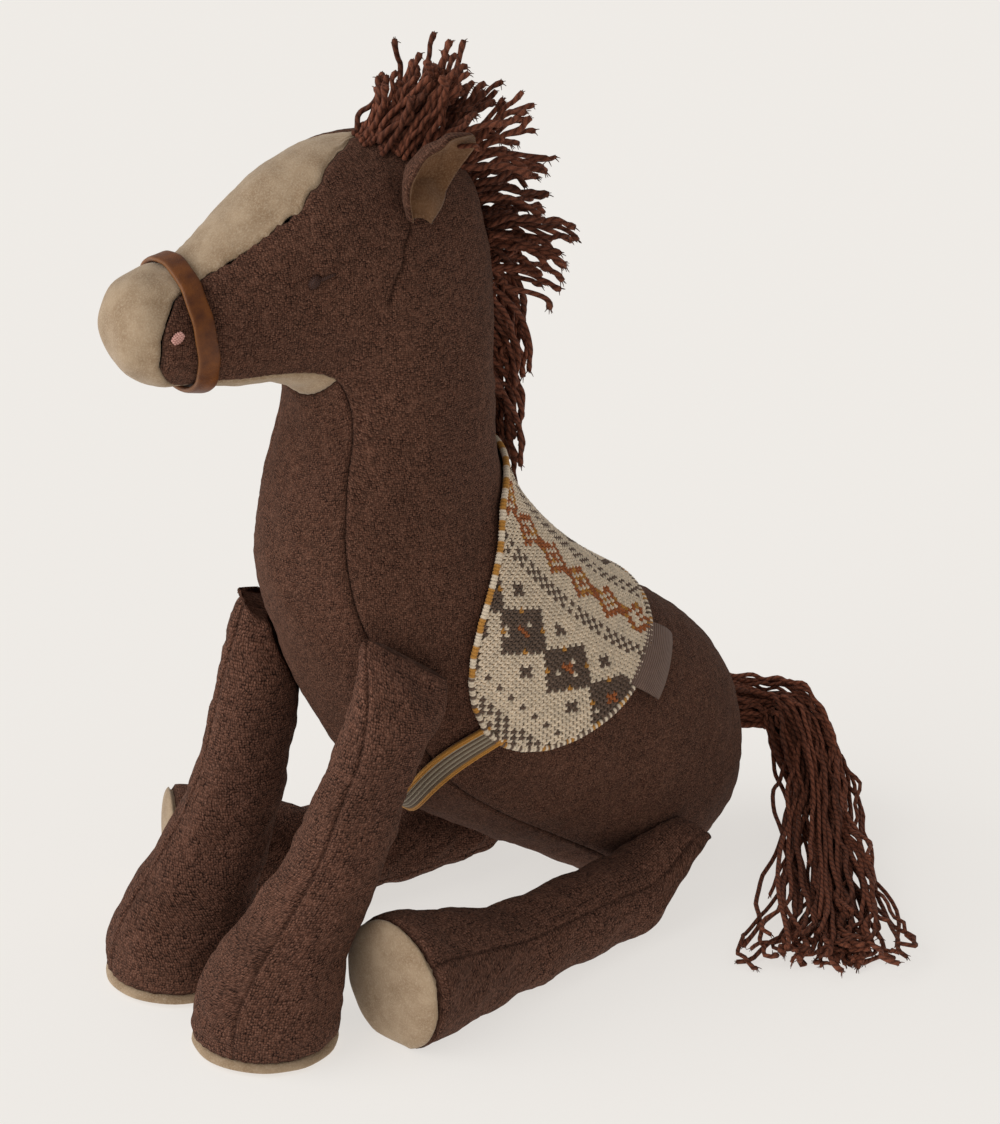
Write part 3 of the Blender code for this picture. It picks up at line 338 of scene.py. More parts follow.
def stations_between(start, end, step, focus=None):
    """Station numbers about one step apart on the skin, closer together near the focus."""
    fine = np.linspace(start, end, 1200)
    lines = section(fine[:, None], np.radians([[20.0, 90.0, 160.0]]) + 0.0 * fine[:, None])
    speed = np.linalg.norm(np.gradient(lines, axis=0), axis=-1).mean(axis=1)
    if focus is not None:
        speed = speed * (1.0 + 4.0 * np.exp(-(((fine - focus) / 0.09) ** 2)))
    length = np.cumsum(speed)
    count = max(int(length[-1] / step), 4)
    return np.interp(np.linspace(length[0], length[-1], count), length, fine)


def dense_at_ends(count):
    """Shares from 0 to 1, closer together at both ends: a straight run mixed with half a cosine."""
    share = np.linspace(0.0, 1.0, count)
    return 0.4 * share + 0.6 * (1.0 - np.cos(math.pi * share)) / 2


def grid_cells(rows, columns, wrap=False):
    """Row and column of each quad's corners; with wrap the last column joins the first."""
    row, column = np.meshgrid(
        np.arange(rows - 1), np.arange(columns if wrap else columns - 1), indexing="ij"
    )
    row = np.stack([row, row, row + 1, row + 1], axis=-1).reshape(-1, 4)
    column = np.stack([column, column + 1, column + 1, column], axis=-1).reshape(-1, 4)
    return row, column


def wall_cells(rows, columns):
    """Corners of the rim quads of a thin wall, as rows, columns and whether they are inside."""
    r = np.arange(rows - 1)
    c = np.arange(columns - 1)
    runs = [
        (0 * c, c + 1, 0 * c, c),
        (0 * c + rows - 1, c, 0 * c + rows - 1, c + 1),
        (r, 0 * r, r + 1, 0 * r),
        (r + 1, 0 * r + columns - 1, r, 0 * r + columns - 1),
    ]
    row = np.concatenate([np.stack([a, d, d, a], axis=-1) for a, _, d, _ in runs])
    column = np.concatenate([np.stack([b, e, e, b], axis=-1) for _, b, _, e in runs])
    return row, column, np.array([0, 0, 1, 1])


def shell(outer, inner, uv):
    """A thin closed wall between two grids of points. Returns points, quads and corner UVs."""
    rows, columns = outer.shape[:2]
    count = rows * columns
    row, column = grid_cells(rows, columns)
    rim_row, rim_column, inside = wall_cells(rows, columns)
    face = row * columns + column
    rim = rim_row * columns + rim_column + inside * count
    quads = np.concatenate([face, face[:, ::-1] + count, rim])
    places = np.concatenate([face, face[:, ::-1], rim_row * columns + rim_column])
    points = np.concatenate([outer.reshape(-1, 3), inner.reshape(-1, 3)])
    return points, quads, uv.reshape(-1, 2)[places]


def faces_outward(points, quads, triangles):
    """Whether the closed mesh has a positive volume, from the fans of its faces."""
    corners = points[quads]
    volume = np.einsum("ij,ij->", corners[:, 0], np.cross(corners[:, 1], corners[:, 2]))
    volume += np.einsum("ij,ij->", corners[:, 0], np.cross(corners[:, 2], corners[:, 3]))
    corners = points[triangles]
    volume += np.einsum("ij,ij->", corners[:, 0], np.cross(corners[:, 1], corners[:, 2]))
    return volume > 0.0


def build(name, finish, points, quads, uv=None, triangles=None, tones=None):
    """One mesh object from arrays: quads, triangles at poles, corner UVs and point attributes."""
    if triangles is None:
        triangles = np.zeros((0, 3), int)
    if not faces_outward(points, quads, triangles):
        quads = quads[:, ::-1]
        triangles = triangles[:, ::-1]
        uv = None if uv is None else uv[:, ::-1]
    mesh = bpy.data.meshes.new(name)
    mesh.vertices.add(len(points))
    mesh.vertices.foreach_set("co", points.astype(np.float32).ravel())
    corners = np.concatenate([quads.ravel(), triangles.ravel()]).astype(np.int32)
    mesh.loops.add(len(corners))
    mesh.loops.foreach_set("vertex_index", corners)
    starts = np.concatenate(
        [np.arange(len(quads)) * 4, len(quads) * 4 + np.arange(len(triangles)) * 3]
    )
    mesh.polygons.add(len(starts))
    mesh.polygons.foreach_set("loop_start", starts.astype(np.int32))
    mesh.update(calc_edges=True)
    mesh.shade_smooth()
    if uv is not None:
        flat = np.zeros((len(corners), 2), np.float32)
        flat[: quads.size] = uv.reshape(-1, 2)
        mesh.uv_layers.new(name="cloth").uv.foreach_set("vector", flat.ravel())
    for label, values in (tones or {}).items():
        values = np.asarray(values, np.float32)
        kind = "FLOAT_COLOR" if values.ndim == 2 else "FLOAT"
        attribute = mesh.attributes.new(label, kind, "POINT")
        attribute.data.foreach_set("color" if values.ndim == 2 else "value", values.ravel())
    mesh.materials.append(finish)
    piece = bpy.data.objects.new(name, mesh)
    bpy.context.scene.collection.objects.link(piece)
    return piece


def place_piece(piece, body, nodes=()):
    """Hang a finished piece on its body, and hide the nodes of the part that it stands for."""
    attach(piece, body)
    if nodes:
        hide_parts(*nodes)
    return piece


def tubes(paths, radii, sides):
    """Round tubes along paths (strand, step, 3), closed to a point at both ends.

    The ring's first direction is carried from step to step with as little turn as possible.
    Returns points, quads, triangles and quad UVs: share round the tube, millimetres along it.
    """
    strands, steps = paths.shape[:2]
    along = unit(np.gradient(paths, axis=1))
    first = unit(np.cross(along[:, 0], unit(np.array([0.31, 0.52, 0.79]))))
    firsts = [first]
    for step in range(1, steps):
        first = unit(first - along[:, step] * (first * along[:, step]).sum(-1, keepdims=True))
        firsts.append(first)
    firsts = np.stack(firsts, axis=1)
    seconds = np.cross(along, firsts)
    turn = np.arange(sides) * 2 * math.pi / sides
    rings = (
        paths[:, :, None]
        + firsts[:, :, None] * (np.cos(turn)[:, None] * radii[:, :, None, None])
        + seconds[:, :, None] * (np.sin(turn)[:, None] * radii[:, :, None, None])
    )
    block = steps * sides
    row, column = grid_cells(steps, sides, wrap=True)
    quads = row * sides + column % sides
    quads = (quads[None] + (np.arange(strands) * block)[:, None, None]).reshape(-1, 4)
    poles = strands * block + np.arange(strands) * 2
    here = np.arange(sides)
    after = (here + 1) % sides
    base = (np.arange(strands) * block)[:, None]
    last = base + (steps - 1) * sides
    start_fan = np.stack(np.broadcast_arrays(base + after, base + here, poles[:, None]), axis=-1)
    end_fan = np.stack(np.broadcast_arrays(last + here, last + after, poles[:, None] + 1), axis=-1)
    triangles = np.concatenate([start_fan.reshape(-1, 3), end_fan.reshape(-1, 3)])
    tips = np.stack([paths[:, 0], paths[:, -1]], axis=1).reshape(-1, 3)
    points = np.concatenate([rings.reshape(-1, 3), tips])
    steps_long = np.linalg.norm(np.diff(paths, axis=1), axis=-1)
    length = np.pad(np.cumsum(steps_long, axis=1), ((0, 0), (1, 0))) / MM
    share = np.broadcast_to(column / sides, (strands,) + column.shape)
    uv = np.stack([share, length[:, row]], axis=-1).reshape(-1, 4, 2)
    return points, quads, triangles, uv


def per_point(values, steps, sides):
    """A value for each strand, repeated for all its ring points and then for its two tips."""
    values = np.asarray(values)
    return np.concatenate([np.repeat(values, steps * sides, axis=0), np.repeat(values, 2, axis=0)])


def sample_skin():
    """Points and normals spread over the skin, to keep other pieces clear of it."""
    stations, angles = np.meshgrid(
        np.linspace(0.3, STATION_RUMP_END, 240), np.arange(130) * 2 * math.pi / 130, indexing="ij"
    )
    here, normal, _, _ = skin_frame(stations, angles)
    here = to_floor(here)
    return here.reshape(-1, 3).astype(np.float32), normal.reshape(-1, 3).astype(np.float32)


SKIN_POINTS, SKIN_NORMALS = sample_skin()


def clear_of_body(points, gap, hinge=(0.0, 0.0, 0.0), turns=(0.0,), axis="X"):
    """Move points that come nearer to the skin than the gap out to it, at each turn of a piece.

    The nearest skin sample is found for blocks of points at once, from their squared distances.
    """
    moved = points.reshape(-1, 3).copy()
    for degrees in turns:
        turn = np.array(Matrix.Rotation(math.radians(degrees), 3, axis))
        turned = (moved - hinge) @ turn.T + hinge
        low = turned.min(axis=0) - 12.0 * MM
        high = turned.max(axis=0) + 12.0 * MM
        near = np.all((SKIN_POINTS > low) & (SKIN_POINTS < high), axis=1)
        if near.any():
            samples = SKIN_POINTS[near]
            normals = SKIN_NORMALS[near]
            squares = (samples**2).sum(axis=1)
            for block in np.array_split(np.arange(len(turned)), 1 + len(turned) // 1500):
                some = turned[block].astype(np.float32)
                found = np.argmin(squares[None] - 2.0 * some @ samples.T, axis=1)
                clear = ((some - samples[found]) * normals[found]).sum(axis=1)
                push = np.maximum(gap - clear, 0.0) * (clear > -25.0 * MM)
                turned[block] += normals[found] * push[:, None]
        moved = (turned - hinge) @ turn + hinge
    return moved.reshape(points.shape)


class Finish:
    """A material with the few node makers that its pattern is built from."""

    def __init__(self, name, roughness, specular=0.3, sheen=0.0, sheen_tint=(1.0, 1.0, 1.0)):
        self.material = bpy.data.materials.new(name)
        self.material.use_nodes = True
        self.tree = self.material.node_tree
        self.shader = self.tree.nodes["Principled BSDF"]
        self.shader.inputs["Roughness"].default_value = roughness
        self.shader.inputs["Specular IOR Level"].default_value = specular
        self.shader.inputs["Sheen Weight"].default_value = sheen
        self.shader.inputs["Sheen Roughness"].default_value = 0.45
        self.shader.inputs["Sheen Tint"].default_value = (*sheen_tint, 1.0)
        self.place = self.node("ShaderNodeTexCoord").outputs["Object"]

    def node(self, kind, inputs=(), **settings):
        made = self.tree.nodes.new(kind)
        for key, value in settings.items():
            setattr(made, key, value)
        for key, value in dict(inputs).items():
            if isinstance(value, bpy.types.NodeSocket):
                self.tree.links.new(value, made.inputs[key])
            else:
                made.inputs[key].default_value = value
        return made

    def count(self, operation, first, second=0.0, third=0.0):
        inputs = {0: first, 1: second, 2: third}
        return self.node("ShaderNodeMath", inputs, operation=operation).outputs[0]

    def noise(self, size, detail=2.0, rough=0.5, where=None):
        inputs = {"Vector": where or self.place, "Scale": 1.0 / size, "Detail": detail}
        inputs["Roughness"] = rough
        return self.node("ShaderNodeTexNoise", inputs).outputs[0]

    def cells(self, size, where=None, randomness=1.0, flat=False, feature="F1"):
        inputs = {"Vector": where or self.place, "Scale": 1.0 / size, "Randomness": randomness}
        dimensions = "2D" if flat else "3D"
        return self.node(
            "ShaderNodeTexVoronoi", inputs, voronoi_dimensions=dimensions, feature=feature
        )

    def cloth_place(self):
        return self.node("ShaderNodeUVMap", uv_map="cloth").outputs[0]

    def point_value(self, label, colour=False):
        return self.node("ShaderNodeAttribute", attribute_name=label).outputs[0 if colour else 2]

    def fit(self, value, low, high, start=0.0, end=1.0):
        inputs = {"Value": value, "From Min": low, "From Max": high, "To Min": start, "To Max": end}
        return self.node("ShaderNodeMapRange", inputs).outputs[0]

    def mix(self, share, first, second, blend="MIX"):
        made = self.node("ShaderNodeMix", data_type="RGBA", blend_type=blend)
        for index, value in ((0, share), (6, first), (7, second)):
            if isinstance(value, bpy.types.NodeSocket):
                self.tree.links.new(value, made.inputs[index])
            elif index:
                made.inputs[index].default_value = (*value, 1.0)
            else:
                made.inputs[index].default_value = value
        return made.outputs[2]

    def dim(self, colour, factor):
        """The colour times a grey factor."""
        grey = self.node("ShaderNodeCombineColor", {0: factor, 1: factor, 2: factor}).outputs[0]
        return self.mix(1.0, colour, grey, blend="MULTIPLY")

    def wear(self, colour, height, depth, strength=1.0):
        """Set the shader's colour and its bump, whose height of 0 to 1 is so many metres deep."""
        self.tree.links.new(colour, self.shader.inputs["Base Color"])
        inputs = {"Height": height, "Distance": depth, "Strength": strength}
        bump = self.node("ShaderNodeBump", inputs).outputs[0]
        self.tree.links.new(bump, self.shader.inputs["Normal"])
        return self.material


def woven_wool(name, base, pit_shade, fleck, pitch, depth):
    """Plain woven wool: thread cells on the cloth's own UV, painted shade in their pits, pale
    flecks.
    """
    finish = Finish(name, roughness=0.95, specular=0.12, sheen=0.04, sheen_tint=(0.9, 0.65, 0.5))
    cloth = finish.cloth_place()
    cells = finish.cells(pitch, where=cloth, randomness=0.55, flat=True)
    fuzz = finish.noise(0.42 * MM, detail=2.0, rough=0.6)
    edge = finish.fit(cells.outputs["Distance"], 0.28, 0.66)
    threads = finish.noise(2.6 * MM, detail=2.0)
    clouds = finish.noise(26.0 * MM, detail=2.0)
    colour = finish.mix(finish.fit(fuzz, 0.42, 0.66), base, fleck)
    # Painted shade: the pits between the thread cells are darkened towards the pit colour
    colour = finish.mix(finish.count("MULTIPLY", edge, finish.fit(threads, 0.2, 0.6)), colour, pit_shade)
    grain = finish.fit(cells.outputs["Color"], 0.0, 1.0, 0.55, 1.45)
    colour = finish.dim(colour, grain)
    colour = finish.dim(colour, finish.fit(clouds, 0.3, 0.7, 0.92, 1.08))
    # Painted shade: the colour goes darker along seams and creases, from the point value
    crease_shade = finish.point_value("crease_shade")
    colour = finish.mix(finish.count("MULTIPLY", crease_shade, 0.5), colour, (0.020, 0.008, 0.005))
    height = finish.count("MULTIPLY_ADD", edge, -0.75, finish.count("MULTIPLY", fuzz, 0.6))
    return finish.wear(colour, height, depth)


def soft_velour(name, base, shade, pale):
    """Short cotton pile: soft patches where the pile lies differently, and a fine fuzz."""
    finish = Finish(name, roughness=1.0, specular=0.1, sheen=0.35, sheen_tint=(1.0, 0.93, 0.82))
    patches = finish.noise(7.0 * MM, detail=3.0, rough=0.6)
    fuzz = finish.noise(0.5 * MM, detail=3.0, rough=0.7)
    colour = finish.mix(finish.fit(patches, 0.35, 0.68), shade, base)
    colour = finish.mix(finish.fit(fuzz, 0.45, 0.8), colour, pale)
    # Painted shade: the colour goes darker along seams and creases, from the point value
    crease_shade = finish.point_value("crease_shade")
    colour = finish.mix(finish.count("MULTIPLY", crease_shade, 0.2), colour, shade)
    height = finish.count("MULTIPLY_ADD", patches, 1.2, finish.count("MULTIPLY", fuzz, 0.8))
    return finish.wear(colour, height, 0.22 * MM)


def tan_strap_leather():
    """Waxed leather: mottled tan, fine pores, and a paler front edge, from wear and a painted
    highlight.
    """
    finish = Finish("tan_leather_finish", roughness=0.45, specular=0.32)
    mottle = finish.noise(5.0 * MM, detail=5.0, rough=0.62)
    pores = finish.cells(0.55 * MM)
    colour = finish.mix(finish.fit(mottle, 0.3, 0.7), (0.075, 0.018, 0.002), (0.185, 0.054, 0.006))
    # The paler edge is partly wear and partly a painted highlight
    wear_and_highlight = finish.point_value("wear_and_highlight")
    colour = finish.mix(finish.count("MULTIPLY", wear_and_highlight, 0.6), colour, (0.30, 0.125, 0.040))
    height = finish.fit(pores.outputs["Distance"], 0.0, 0.5)
    return finish.wear(colour, height, 0.06 * MM)


def twisted_yarn(name, groove_shade, mid, pale, plies, pitch_mm):
    """Plied yarn: slanting grooves between the plies from the tube's UV, painted shade in them,
    each strand its tone.
    """
    finish = Finish(name, roughness=0.8, specular=0.16, sheen=0.08, sheen_tint=(0.9, 0.6, 0.5))
    split = finish.node("ShaderNodeSeparateXYZ", {0: finish.cloth_place()})
    lean = finish.count("MULTIPLY", split.outputs[0], float(plies))
    lean = finish.count("MULTIPLY_ADD", split.outputs[1], 1.0 / pitch_mm, lean)
    wave = finish.count("SINE", finish.count("MULTIPLY", lean, 2 * math.pi))
    ply = finish.fit(wave, -1.0, 0.6)
    fuzz = finish.noise(0.45 * MM, detail=3.0, rough=0.65)
    tone = finish.point_value("tone")
    colour = finish.mix(finish.fit(fuzz, 0.3, 0.75), mid, pale)
    # Painted shade: the colour goes darker in the grooves between the plies
    colour = finish.mix(finish.fit(ply, 0.0, 0.75, 0.62, 0.0), colour, groove_shade)
    colour = finish.dim(colour, finish.fit(tone, 0.0, 1.0, 0.62, 1.32))
    height = finish.count("MULTIPLY_ADD", fuzz, 0.9, ply)
    return finish.wear(colour, height, 0.22 * MM)


def coloured_yarn(name, depth):
    """Knitting yarn whose colour is carried by each stitch, with a little fuzz."""
    finish = Finish(name, roughness=0.9, specular=0.15, sheen=0.15)
    fuzz = finish.noise(0.35 * MM, detail=3.0)
    colour = finish.point_value("dye", colour=True)
    colour = finish.dim(colour, finish.fit(fuzz, 0.3, 0.7, 0.8, 1.15))
    return finish.wear(colour, fuzz, depth)


def satin_thread(name, base, shade):
    """Smooth embroidery thread with a fine twist."""
    finish = Finish(name, roughness=0.6, specular=0.25)
    split = finish.node("ShaderNodeSeparateXYZ", {0: finish.cloth_place()})
    lean = finish.count("MULTIPLY_ADD", split.outputs[1], 2.2, split.outputs[0])
    wave = finish.count("SINE", finish.count("MULTIPLY", lean, 2 * math.pi))
    # Painted shade: the thread is darker in the grooves of its twist, where the bump is low
    colour = finish.mix(finish.fit(wave, -1.0, 1.0), shade, base)
    return finish.wear(colour, wave, 0.03 * MM)


def ribbed_tab():
    """A woven tab with fine ribs along its length and nothing on it."""
    finish = Finish("woven_tab_finish", roughness=0.75, specular=0.2, sheen=0.1)
    split = finish.node("ShaderNodeSeparateXYZ", {0: finish.cloth_place()})
    ribs = finish.count("SINE", finish.count("MULTIPLY", split.outputs[0], 2 * math.pi / 0.75))
    weft = finish.count("SINE", finish.count("MULTIPLY", split.outputs[1], 2 * math.pi / 0.45))
    weave = finish.count("MULTIPLY_ADD", weft, 0.35, ribs)
    mottle = finish.noise(1.6 * MM)
    # Painted shade: the colour goes darker in the grooves between the ribs, where the bump is low
    colour = finish.mix(finish.fit(weave, -1.3, 1.3), (0.120, 0.068, 0.049), (0.260, 0.165, 0.125))
    colour = finish.dim(colour, finish.fit(mottle, 0.3, 0.7, 0.9, 1.1))
    return finish.wear(colour, weave, 0.12 * MM)


WOOL = woven_wool(
    "brown_wool_finish",
    (0.092, 0.038, 0.023),
    (0.020, 0.007, 0.004),
    (0.170, 0.084, 0.055),
    0.56,
    0.20 * MM,
)
TWEED = woven_wool(
    "brown_tweed_finish",
    (0.105, 0.044, 0.027),
    (0.018, 0.007, 0.004),
    (0.190, 0.094, 0.064),
    0.72,
    0.27 * MM,
)
VELOUR = soft_velour(
    "beige_velour_finish", (0.430, 0.310, 0.200), (0.300, 0.200, 0.118), (0.520, 0.400, 0.280)
)
LINING = soft_velour(
    "ear_lining_finish", (0.190, 0.094, 0.044), (0.105, 0.048, 0.022), (0.280, 0.160, 0.088)
)
LEATHER = tan_strap_leather()
MANE_YARN = twisted_yarn(
    "mane_yarn_finish", (0.014, 0.004, 0.003), (0.135, 0.038, 0.020), (0.245, 0.086, 0.046), 2, 2.6
)
KNIT_YARN = coloured_yarn("knit_yarn_finish", 0.08 * MM)
ELASTIC = coloured_yarn("girth_elastic_finish", 0.06 * MM)
TAB = ribbed_tab()
PINK_THREAD = satin_thread("pink_thread_finish", (0.76, 0.43, 0.36), (0.42, 0.19, 0.16))
DARK_THREAD = satin_thread("dark_thread_finish", (0.072, 0.028, 0.017), (0.022, 0.009, 0.006))


def seam_relief(from_seam, run):
    """Height of the cloth beside a seam: a bell-shaped groove with puckers between the stitches."""
    groove = -SEAM_DEPTH * np.exp(-((from_seam / SEAM_WIDTH) ** 2))
    fade = np.exp(-from_seam / (2.2 * MM))
    return groove + PUCKER_HEIGHT * fade * np.cos(2 * math.pi * run / PUCKER_PITCH)


def cloth_panel(name, finish, stations, low, high, columns, middle, nodes, seams="lhse"):
    """A panel of the skin between two angles that change along the stations.

    The outer face is the skin plus stuffing lumps, less a groove that follows each seam; seams
    names the sewn borders: l and h the low and high angle, s and e the start and the end.
    """
    share = dense_at_ends(columns)
    angles = low[:, None] + (high - low)[:, None] * share
    places = np.broadcast_to(stations[:, None], angles.shape)
    flat = skin(places, angles, np.zeros(angles.shape))
    across = arc_lengths(flat, 1)
    along = arc_lengths(flat, 0)
    far = 1.0
    borders = {
        "l": across,
        "h": across[:, -1:] - across,
        "s": along,
        "e": along[-1:] - along,
    }
    from_seam = np.full(angles.shape, far)
    for letter in seams:
        from_seam = np.minimum(from_seam, borders[letter])
    run = np.where(np.minimum(borders["l"], borders["h"]) <= from_seam + 1e-9, along, across)
    out = STUFFING_LUMP * lumps(flat, 17.0 * MM, 5) + 0.12 * MM * lumps(flat, 5.0 * MM, 6)
    out = out * np.clip(from_seam / (3.0 * MM), 0.0, 1.0)
    out = out + seam_relief(from_seam, run)
    # Painted shade along the seams, and below along the dart, carried to the finish as a point
    # value
    crease_shade = np.exp(-((from_seam / (0.42 * MM)) ** 2))
    if not middle:
        dart = dart_distance(places, np.abs(angles))
        out = out - 0.9 * MM * np.exp(-((dart / (0.6 * MM)) ** 2))
        crease_shade = np.maximum(crease_shade, np.exp(-((dart / (0.42 * MM)) ** 2)))
    outer = to_floor(skin(places, angles, out))
    inner = to_floor(skin(places, angles, np.full(angles.shape, -1.3 * CLOTH)), CLOTH)
    if middle:
        centre = along[:, columns // 2][:, None]
        uv = np.stack([across - across[:, -1:] / 2, centre + 0.0 * across], axis=-1)
    else:
        row = along_table(OUTLINE, stations)
        back, belly = row[:, 0:2], row[:, 2:4]
        upright = unit(back - belly)
        side = np.argmin(np.abs(np.abs(angles) - math.pi / 2), axis=1)
        zero = np.take_along_axis(across, side[:, None], axis=1)
        from_side = np.abs(across) - zero
        uv = ((back + belly) / 2)[:, None] - upright[:, None] * from_side[..., None]
    points, quads, corner_uv = shell(outer, inner, uv / MM)
    tones = {"crease_shade": np.concatenate([crease_shade.ravel(), crease_shade.ravel()])}
    piece = build(name, finish, points, quads, corner_uv, tones=tones)
    return place_piece(piece, "torso", nodes)


def dart_distance(stations, angles):
    """Distance on the skin from the short dart seam that runs down from the ear."""
    low, high = math.radians(60.0), math.radians(96.0)
    waver = STATION_DART + 0.035 * np.sin(np.linspace(0.0, 15.0, 60))
    line = skin(waver, np.linspace(low, high, 60), np.zeros(60))
    middle = line[30]
    here = skin(stations, angles, np.zeros(angles.shape))
    near = np.linalg.norm(here - middle, axis=-1) < 24.0 * MM
    distance = np.full(angles.shape, 1.0)
    gaps = np.linalg.norm(here[near][:, None] - line[None], axis=-1)
    distance[near] = gaps.min(axis=1)
    return distance


def blaze_edge(stations):
    """The blaze's half angle, with the unevenness of its cut pile as two waves."""
    uneven = np.sin(stations * 41.0) + 0.7 * np.sin(stations * 67.0 + 1.0)
    return half_angle(BLAZE_HALF_DEG, stations) + math.radians(1.25) * uneven


def make_body():
    """Side panels, blaze, chin strip, gusset and muzzle cap."""
    seam = 0.02
    start = STATION_MUZZLE_SEAM + seam
    stations = stations_between(start, STATION_RUMP_END, MESH_STEP, STATION_DART)
    upper = np.where(stations < STATION_POLL, blaze_edge(stations), 0.0)
    lower = np.where(
        stations < STATION_THROAT,
        half_angle(CHIN_HALF_DEG, stations),
        half_angle(GUSSET_HALF_DEG, stations),
    )
    lower = math.pi - np.where(stations > STATION_GUSSET_END, 0.0, lower)
    columns = int(112.0 * MM / MESH_STEP)
    hair = 0.002
    for side, sign in SIDES.items():
        nodes = [f"side_panel_{side}"]
        if side == "left":
            nodes += ["head_filling", "neck_filling", "trunk_filling"]
        cloth_panel(
            f"side_panel_{side}_cloth",
            WOOL,
            stations,
            sign * (upper + hair),
            sign * (lower - hair),
            columns,
            False,
            nodes,
            seams="lhs",
        )
    ahead = stations_between(STATION_CAP_END + seam, STATION_POLL, MESH_STEP)
    under = stations_between(STATION_CAP_END_BELOW + seam, STATION_THROAT - seam, 0.7 * MESH_STEP)
    below = stations_between(STATION_THROAT + seam, STATION_GUSSET_END, MESH_STEP)
    blaze = np.maximum(blaze_edge(ahead) - hair, math.radians(1.0))
    chin = half_angle(CHIN_HALF_DEG, under) - hair
    gusset = half_angle(GUSSET_HALF_DEG, below) - hair
    wide, broad = int(62.0 * MM / MESH_STEP), int(56.0 * MM / MESH_STEP)
    velour, wool = (VELOUR, "velour", "beige_velour"), (WOOL, "cloth", "brown_wool")
    for node, (finish, ending, slot), places, centre, edge, columns in (
        ("blaze_panel", velour, ahead, 0.0, blaze, wide),
        ("chin_strip", velour, under, math.pi, chin, 34),
        ("chest_and_belly_gusset", wool, below, math.pi, gusset, broad),
    ):
        name = f"{node}_{ending}"
        low, high = centre - edge, centre + edge
        cloth_panel(name, finish, places, low, high, columns, True, [node])
    make_muzzle_cap()


def cap_rim(turn):
    """The station where the cap ends, at angles round the nose.

    Above and below it runs back under the noseband. Between, its edge goes round the blunt front
    ends of the side panels, with a small unevenness of the cut pile.
    """
    upper_stations, upper = BLAZE_HALF_DEG
    lower_stations, lower = CHIN_HALF_DEG
    degrees = [0.0, *upper[3::-1], *[180.0 - angle for angle in lower[:5]], 180.0]
    stations = [STATION_CAP_END, *upper_stations[3::-1], *lower_stations[:5], lower_stations[4]]
    down = np.degrees(np.abs((turn + math.pi) % (2 * math.pi) - math.pi))
    return np.interp(down, degrees, stations) - 0.03 + 0.012 * np.sin(57.0 * turn)


def make_muzzle_cap():
    """The velour cap over the nose: rings of the skin, closed at the tip, its rim turned in."""
    columns = int(150.0 * MM / MESH_STEP)
    turn = np.arange(columns) * 2 * math.pi / columns
    ends = cap_rim(turn)
    stations = stations_between(0.05, STATION_CAP_END, MESH_STEP)
    share = (stations - stations[0]) / (stations[-1] - stations[0])
    share = np.concatenate([share, [1.0, 1.0]])[:, None]
    places = stations[0] + (ends - stations[0]) * share
    angles = np.broadcast_to(turn, places.shape)
    flat = skin(places, angles, np.zeros(places.shape))
    from_seam = np.linalg.norm(flat - flat[-1:], axis=-1)
    run = np.broadcast_to(arc_lengths(flat, 1)[-1:], places.shape)
    out = STUFFING_LUMP * lumps(flat, 13.0 * MM, 8) * np.clip(from_seam / (3 * MM), 0.0, 1.0)
    out = out + seam_relief(from_seam, run)
    out[-2] = -CLOTH
    out[-1] = -3.0 * CLOTH
    rings = skin(places, angles, out)
    points, quads, triangles, _ = closed_tube(rings, 1.0)
    # Painted shade at the sewn rim and at the turned-in tip
    crease_shade = np.exp(-((from_seam / (0.42 * MM)) ** 2)).ravel()
    tones = {"crease_shade": np.concatenate([crease_shade, [0.0, 1.0]])}
    piece = build("muzzle_cap_velour", VELOUR, points, quads, triangles=triangles, tones=tones)
    place_piece(piece, "torso", ["muzzle_cap"])


def make_noseband():
    """A leather band: a rounded oblong profile carried round the muzzle."""
    width, thickness, gap = 6.0 * MM, 1.6 * MM, 0.5 * MM
    sides, corners = 180, 20
    per_station = metres_per_station(STATION_NOSEBAND, 0.0)
    turn = np.arange(sides) * 2 * math.pi / sides
    tilt = np.arange(corners) * 2 * math.pi / corners
    across = np.sign(np.cos(tilt)) * np.abs(np.cos(tilt)) ** 0.5 * width / 2
    height = np.sign(np.sin(tilt)) * np.abs(np.sin(tilt)) ** 0.6 * thickness / 2
    wave = 0.25 * MM * np.sin(3 * turn + 0.5) + 0.12 * MM * np.sin(11 * turn)
    lean = NOSEBAND_LEAN_STATIONS * (1.0 - np.cos(turn)) / 2
    places = STATION_NOSEBAND + lean[:, None] + (across[None] + wave[:, None]) / per_station
    out = gap + thickness / 2 + height[None] + 0.0 * places
    rings = skin(places, turn[:, None] + 0.0 * places, out)
    row, column = grid_cells(sides + 1, corners, wrap=True)
    quads = (row % sides) * corners + column % corners
    # A paler band on the outer face's front edge: wear and a painted highlight
    wear_and_highlight = np.clip(-across / (width / 2), 0.0, 1.0) ** 10 * (height > 0.0)
    tones = {"wear_and_highlight": np.broadcast_to(wear_and_highlight, (sides, corners)).ravel()}
    piece = build("noseband_leather", LEATHER, rings.reshape(-1, 3), quads, tones=tones)
    place_piece(piece, "torso", ["noseband"])


def thread_piece(name, finish, nodes, paths, radius):
    """Short threads that bulge a little in their middles, as one piece."""
    steps, sides = paths.shape[1], 7
    swell = 0.7 + 0.3 * np.sin(np.linspace(0.0, math.pi, steps))
    radii = np.broadcast_to(radius * swell, paths.shape[:2])
    points, quads, triangles, uv = tubes(paths, radii, sides)
    piece = build(name, finish, points, quads, uv, triangles)
    return place_piece(piece, "torso", nodes)


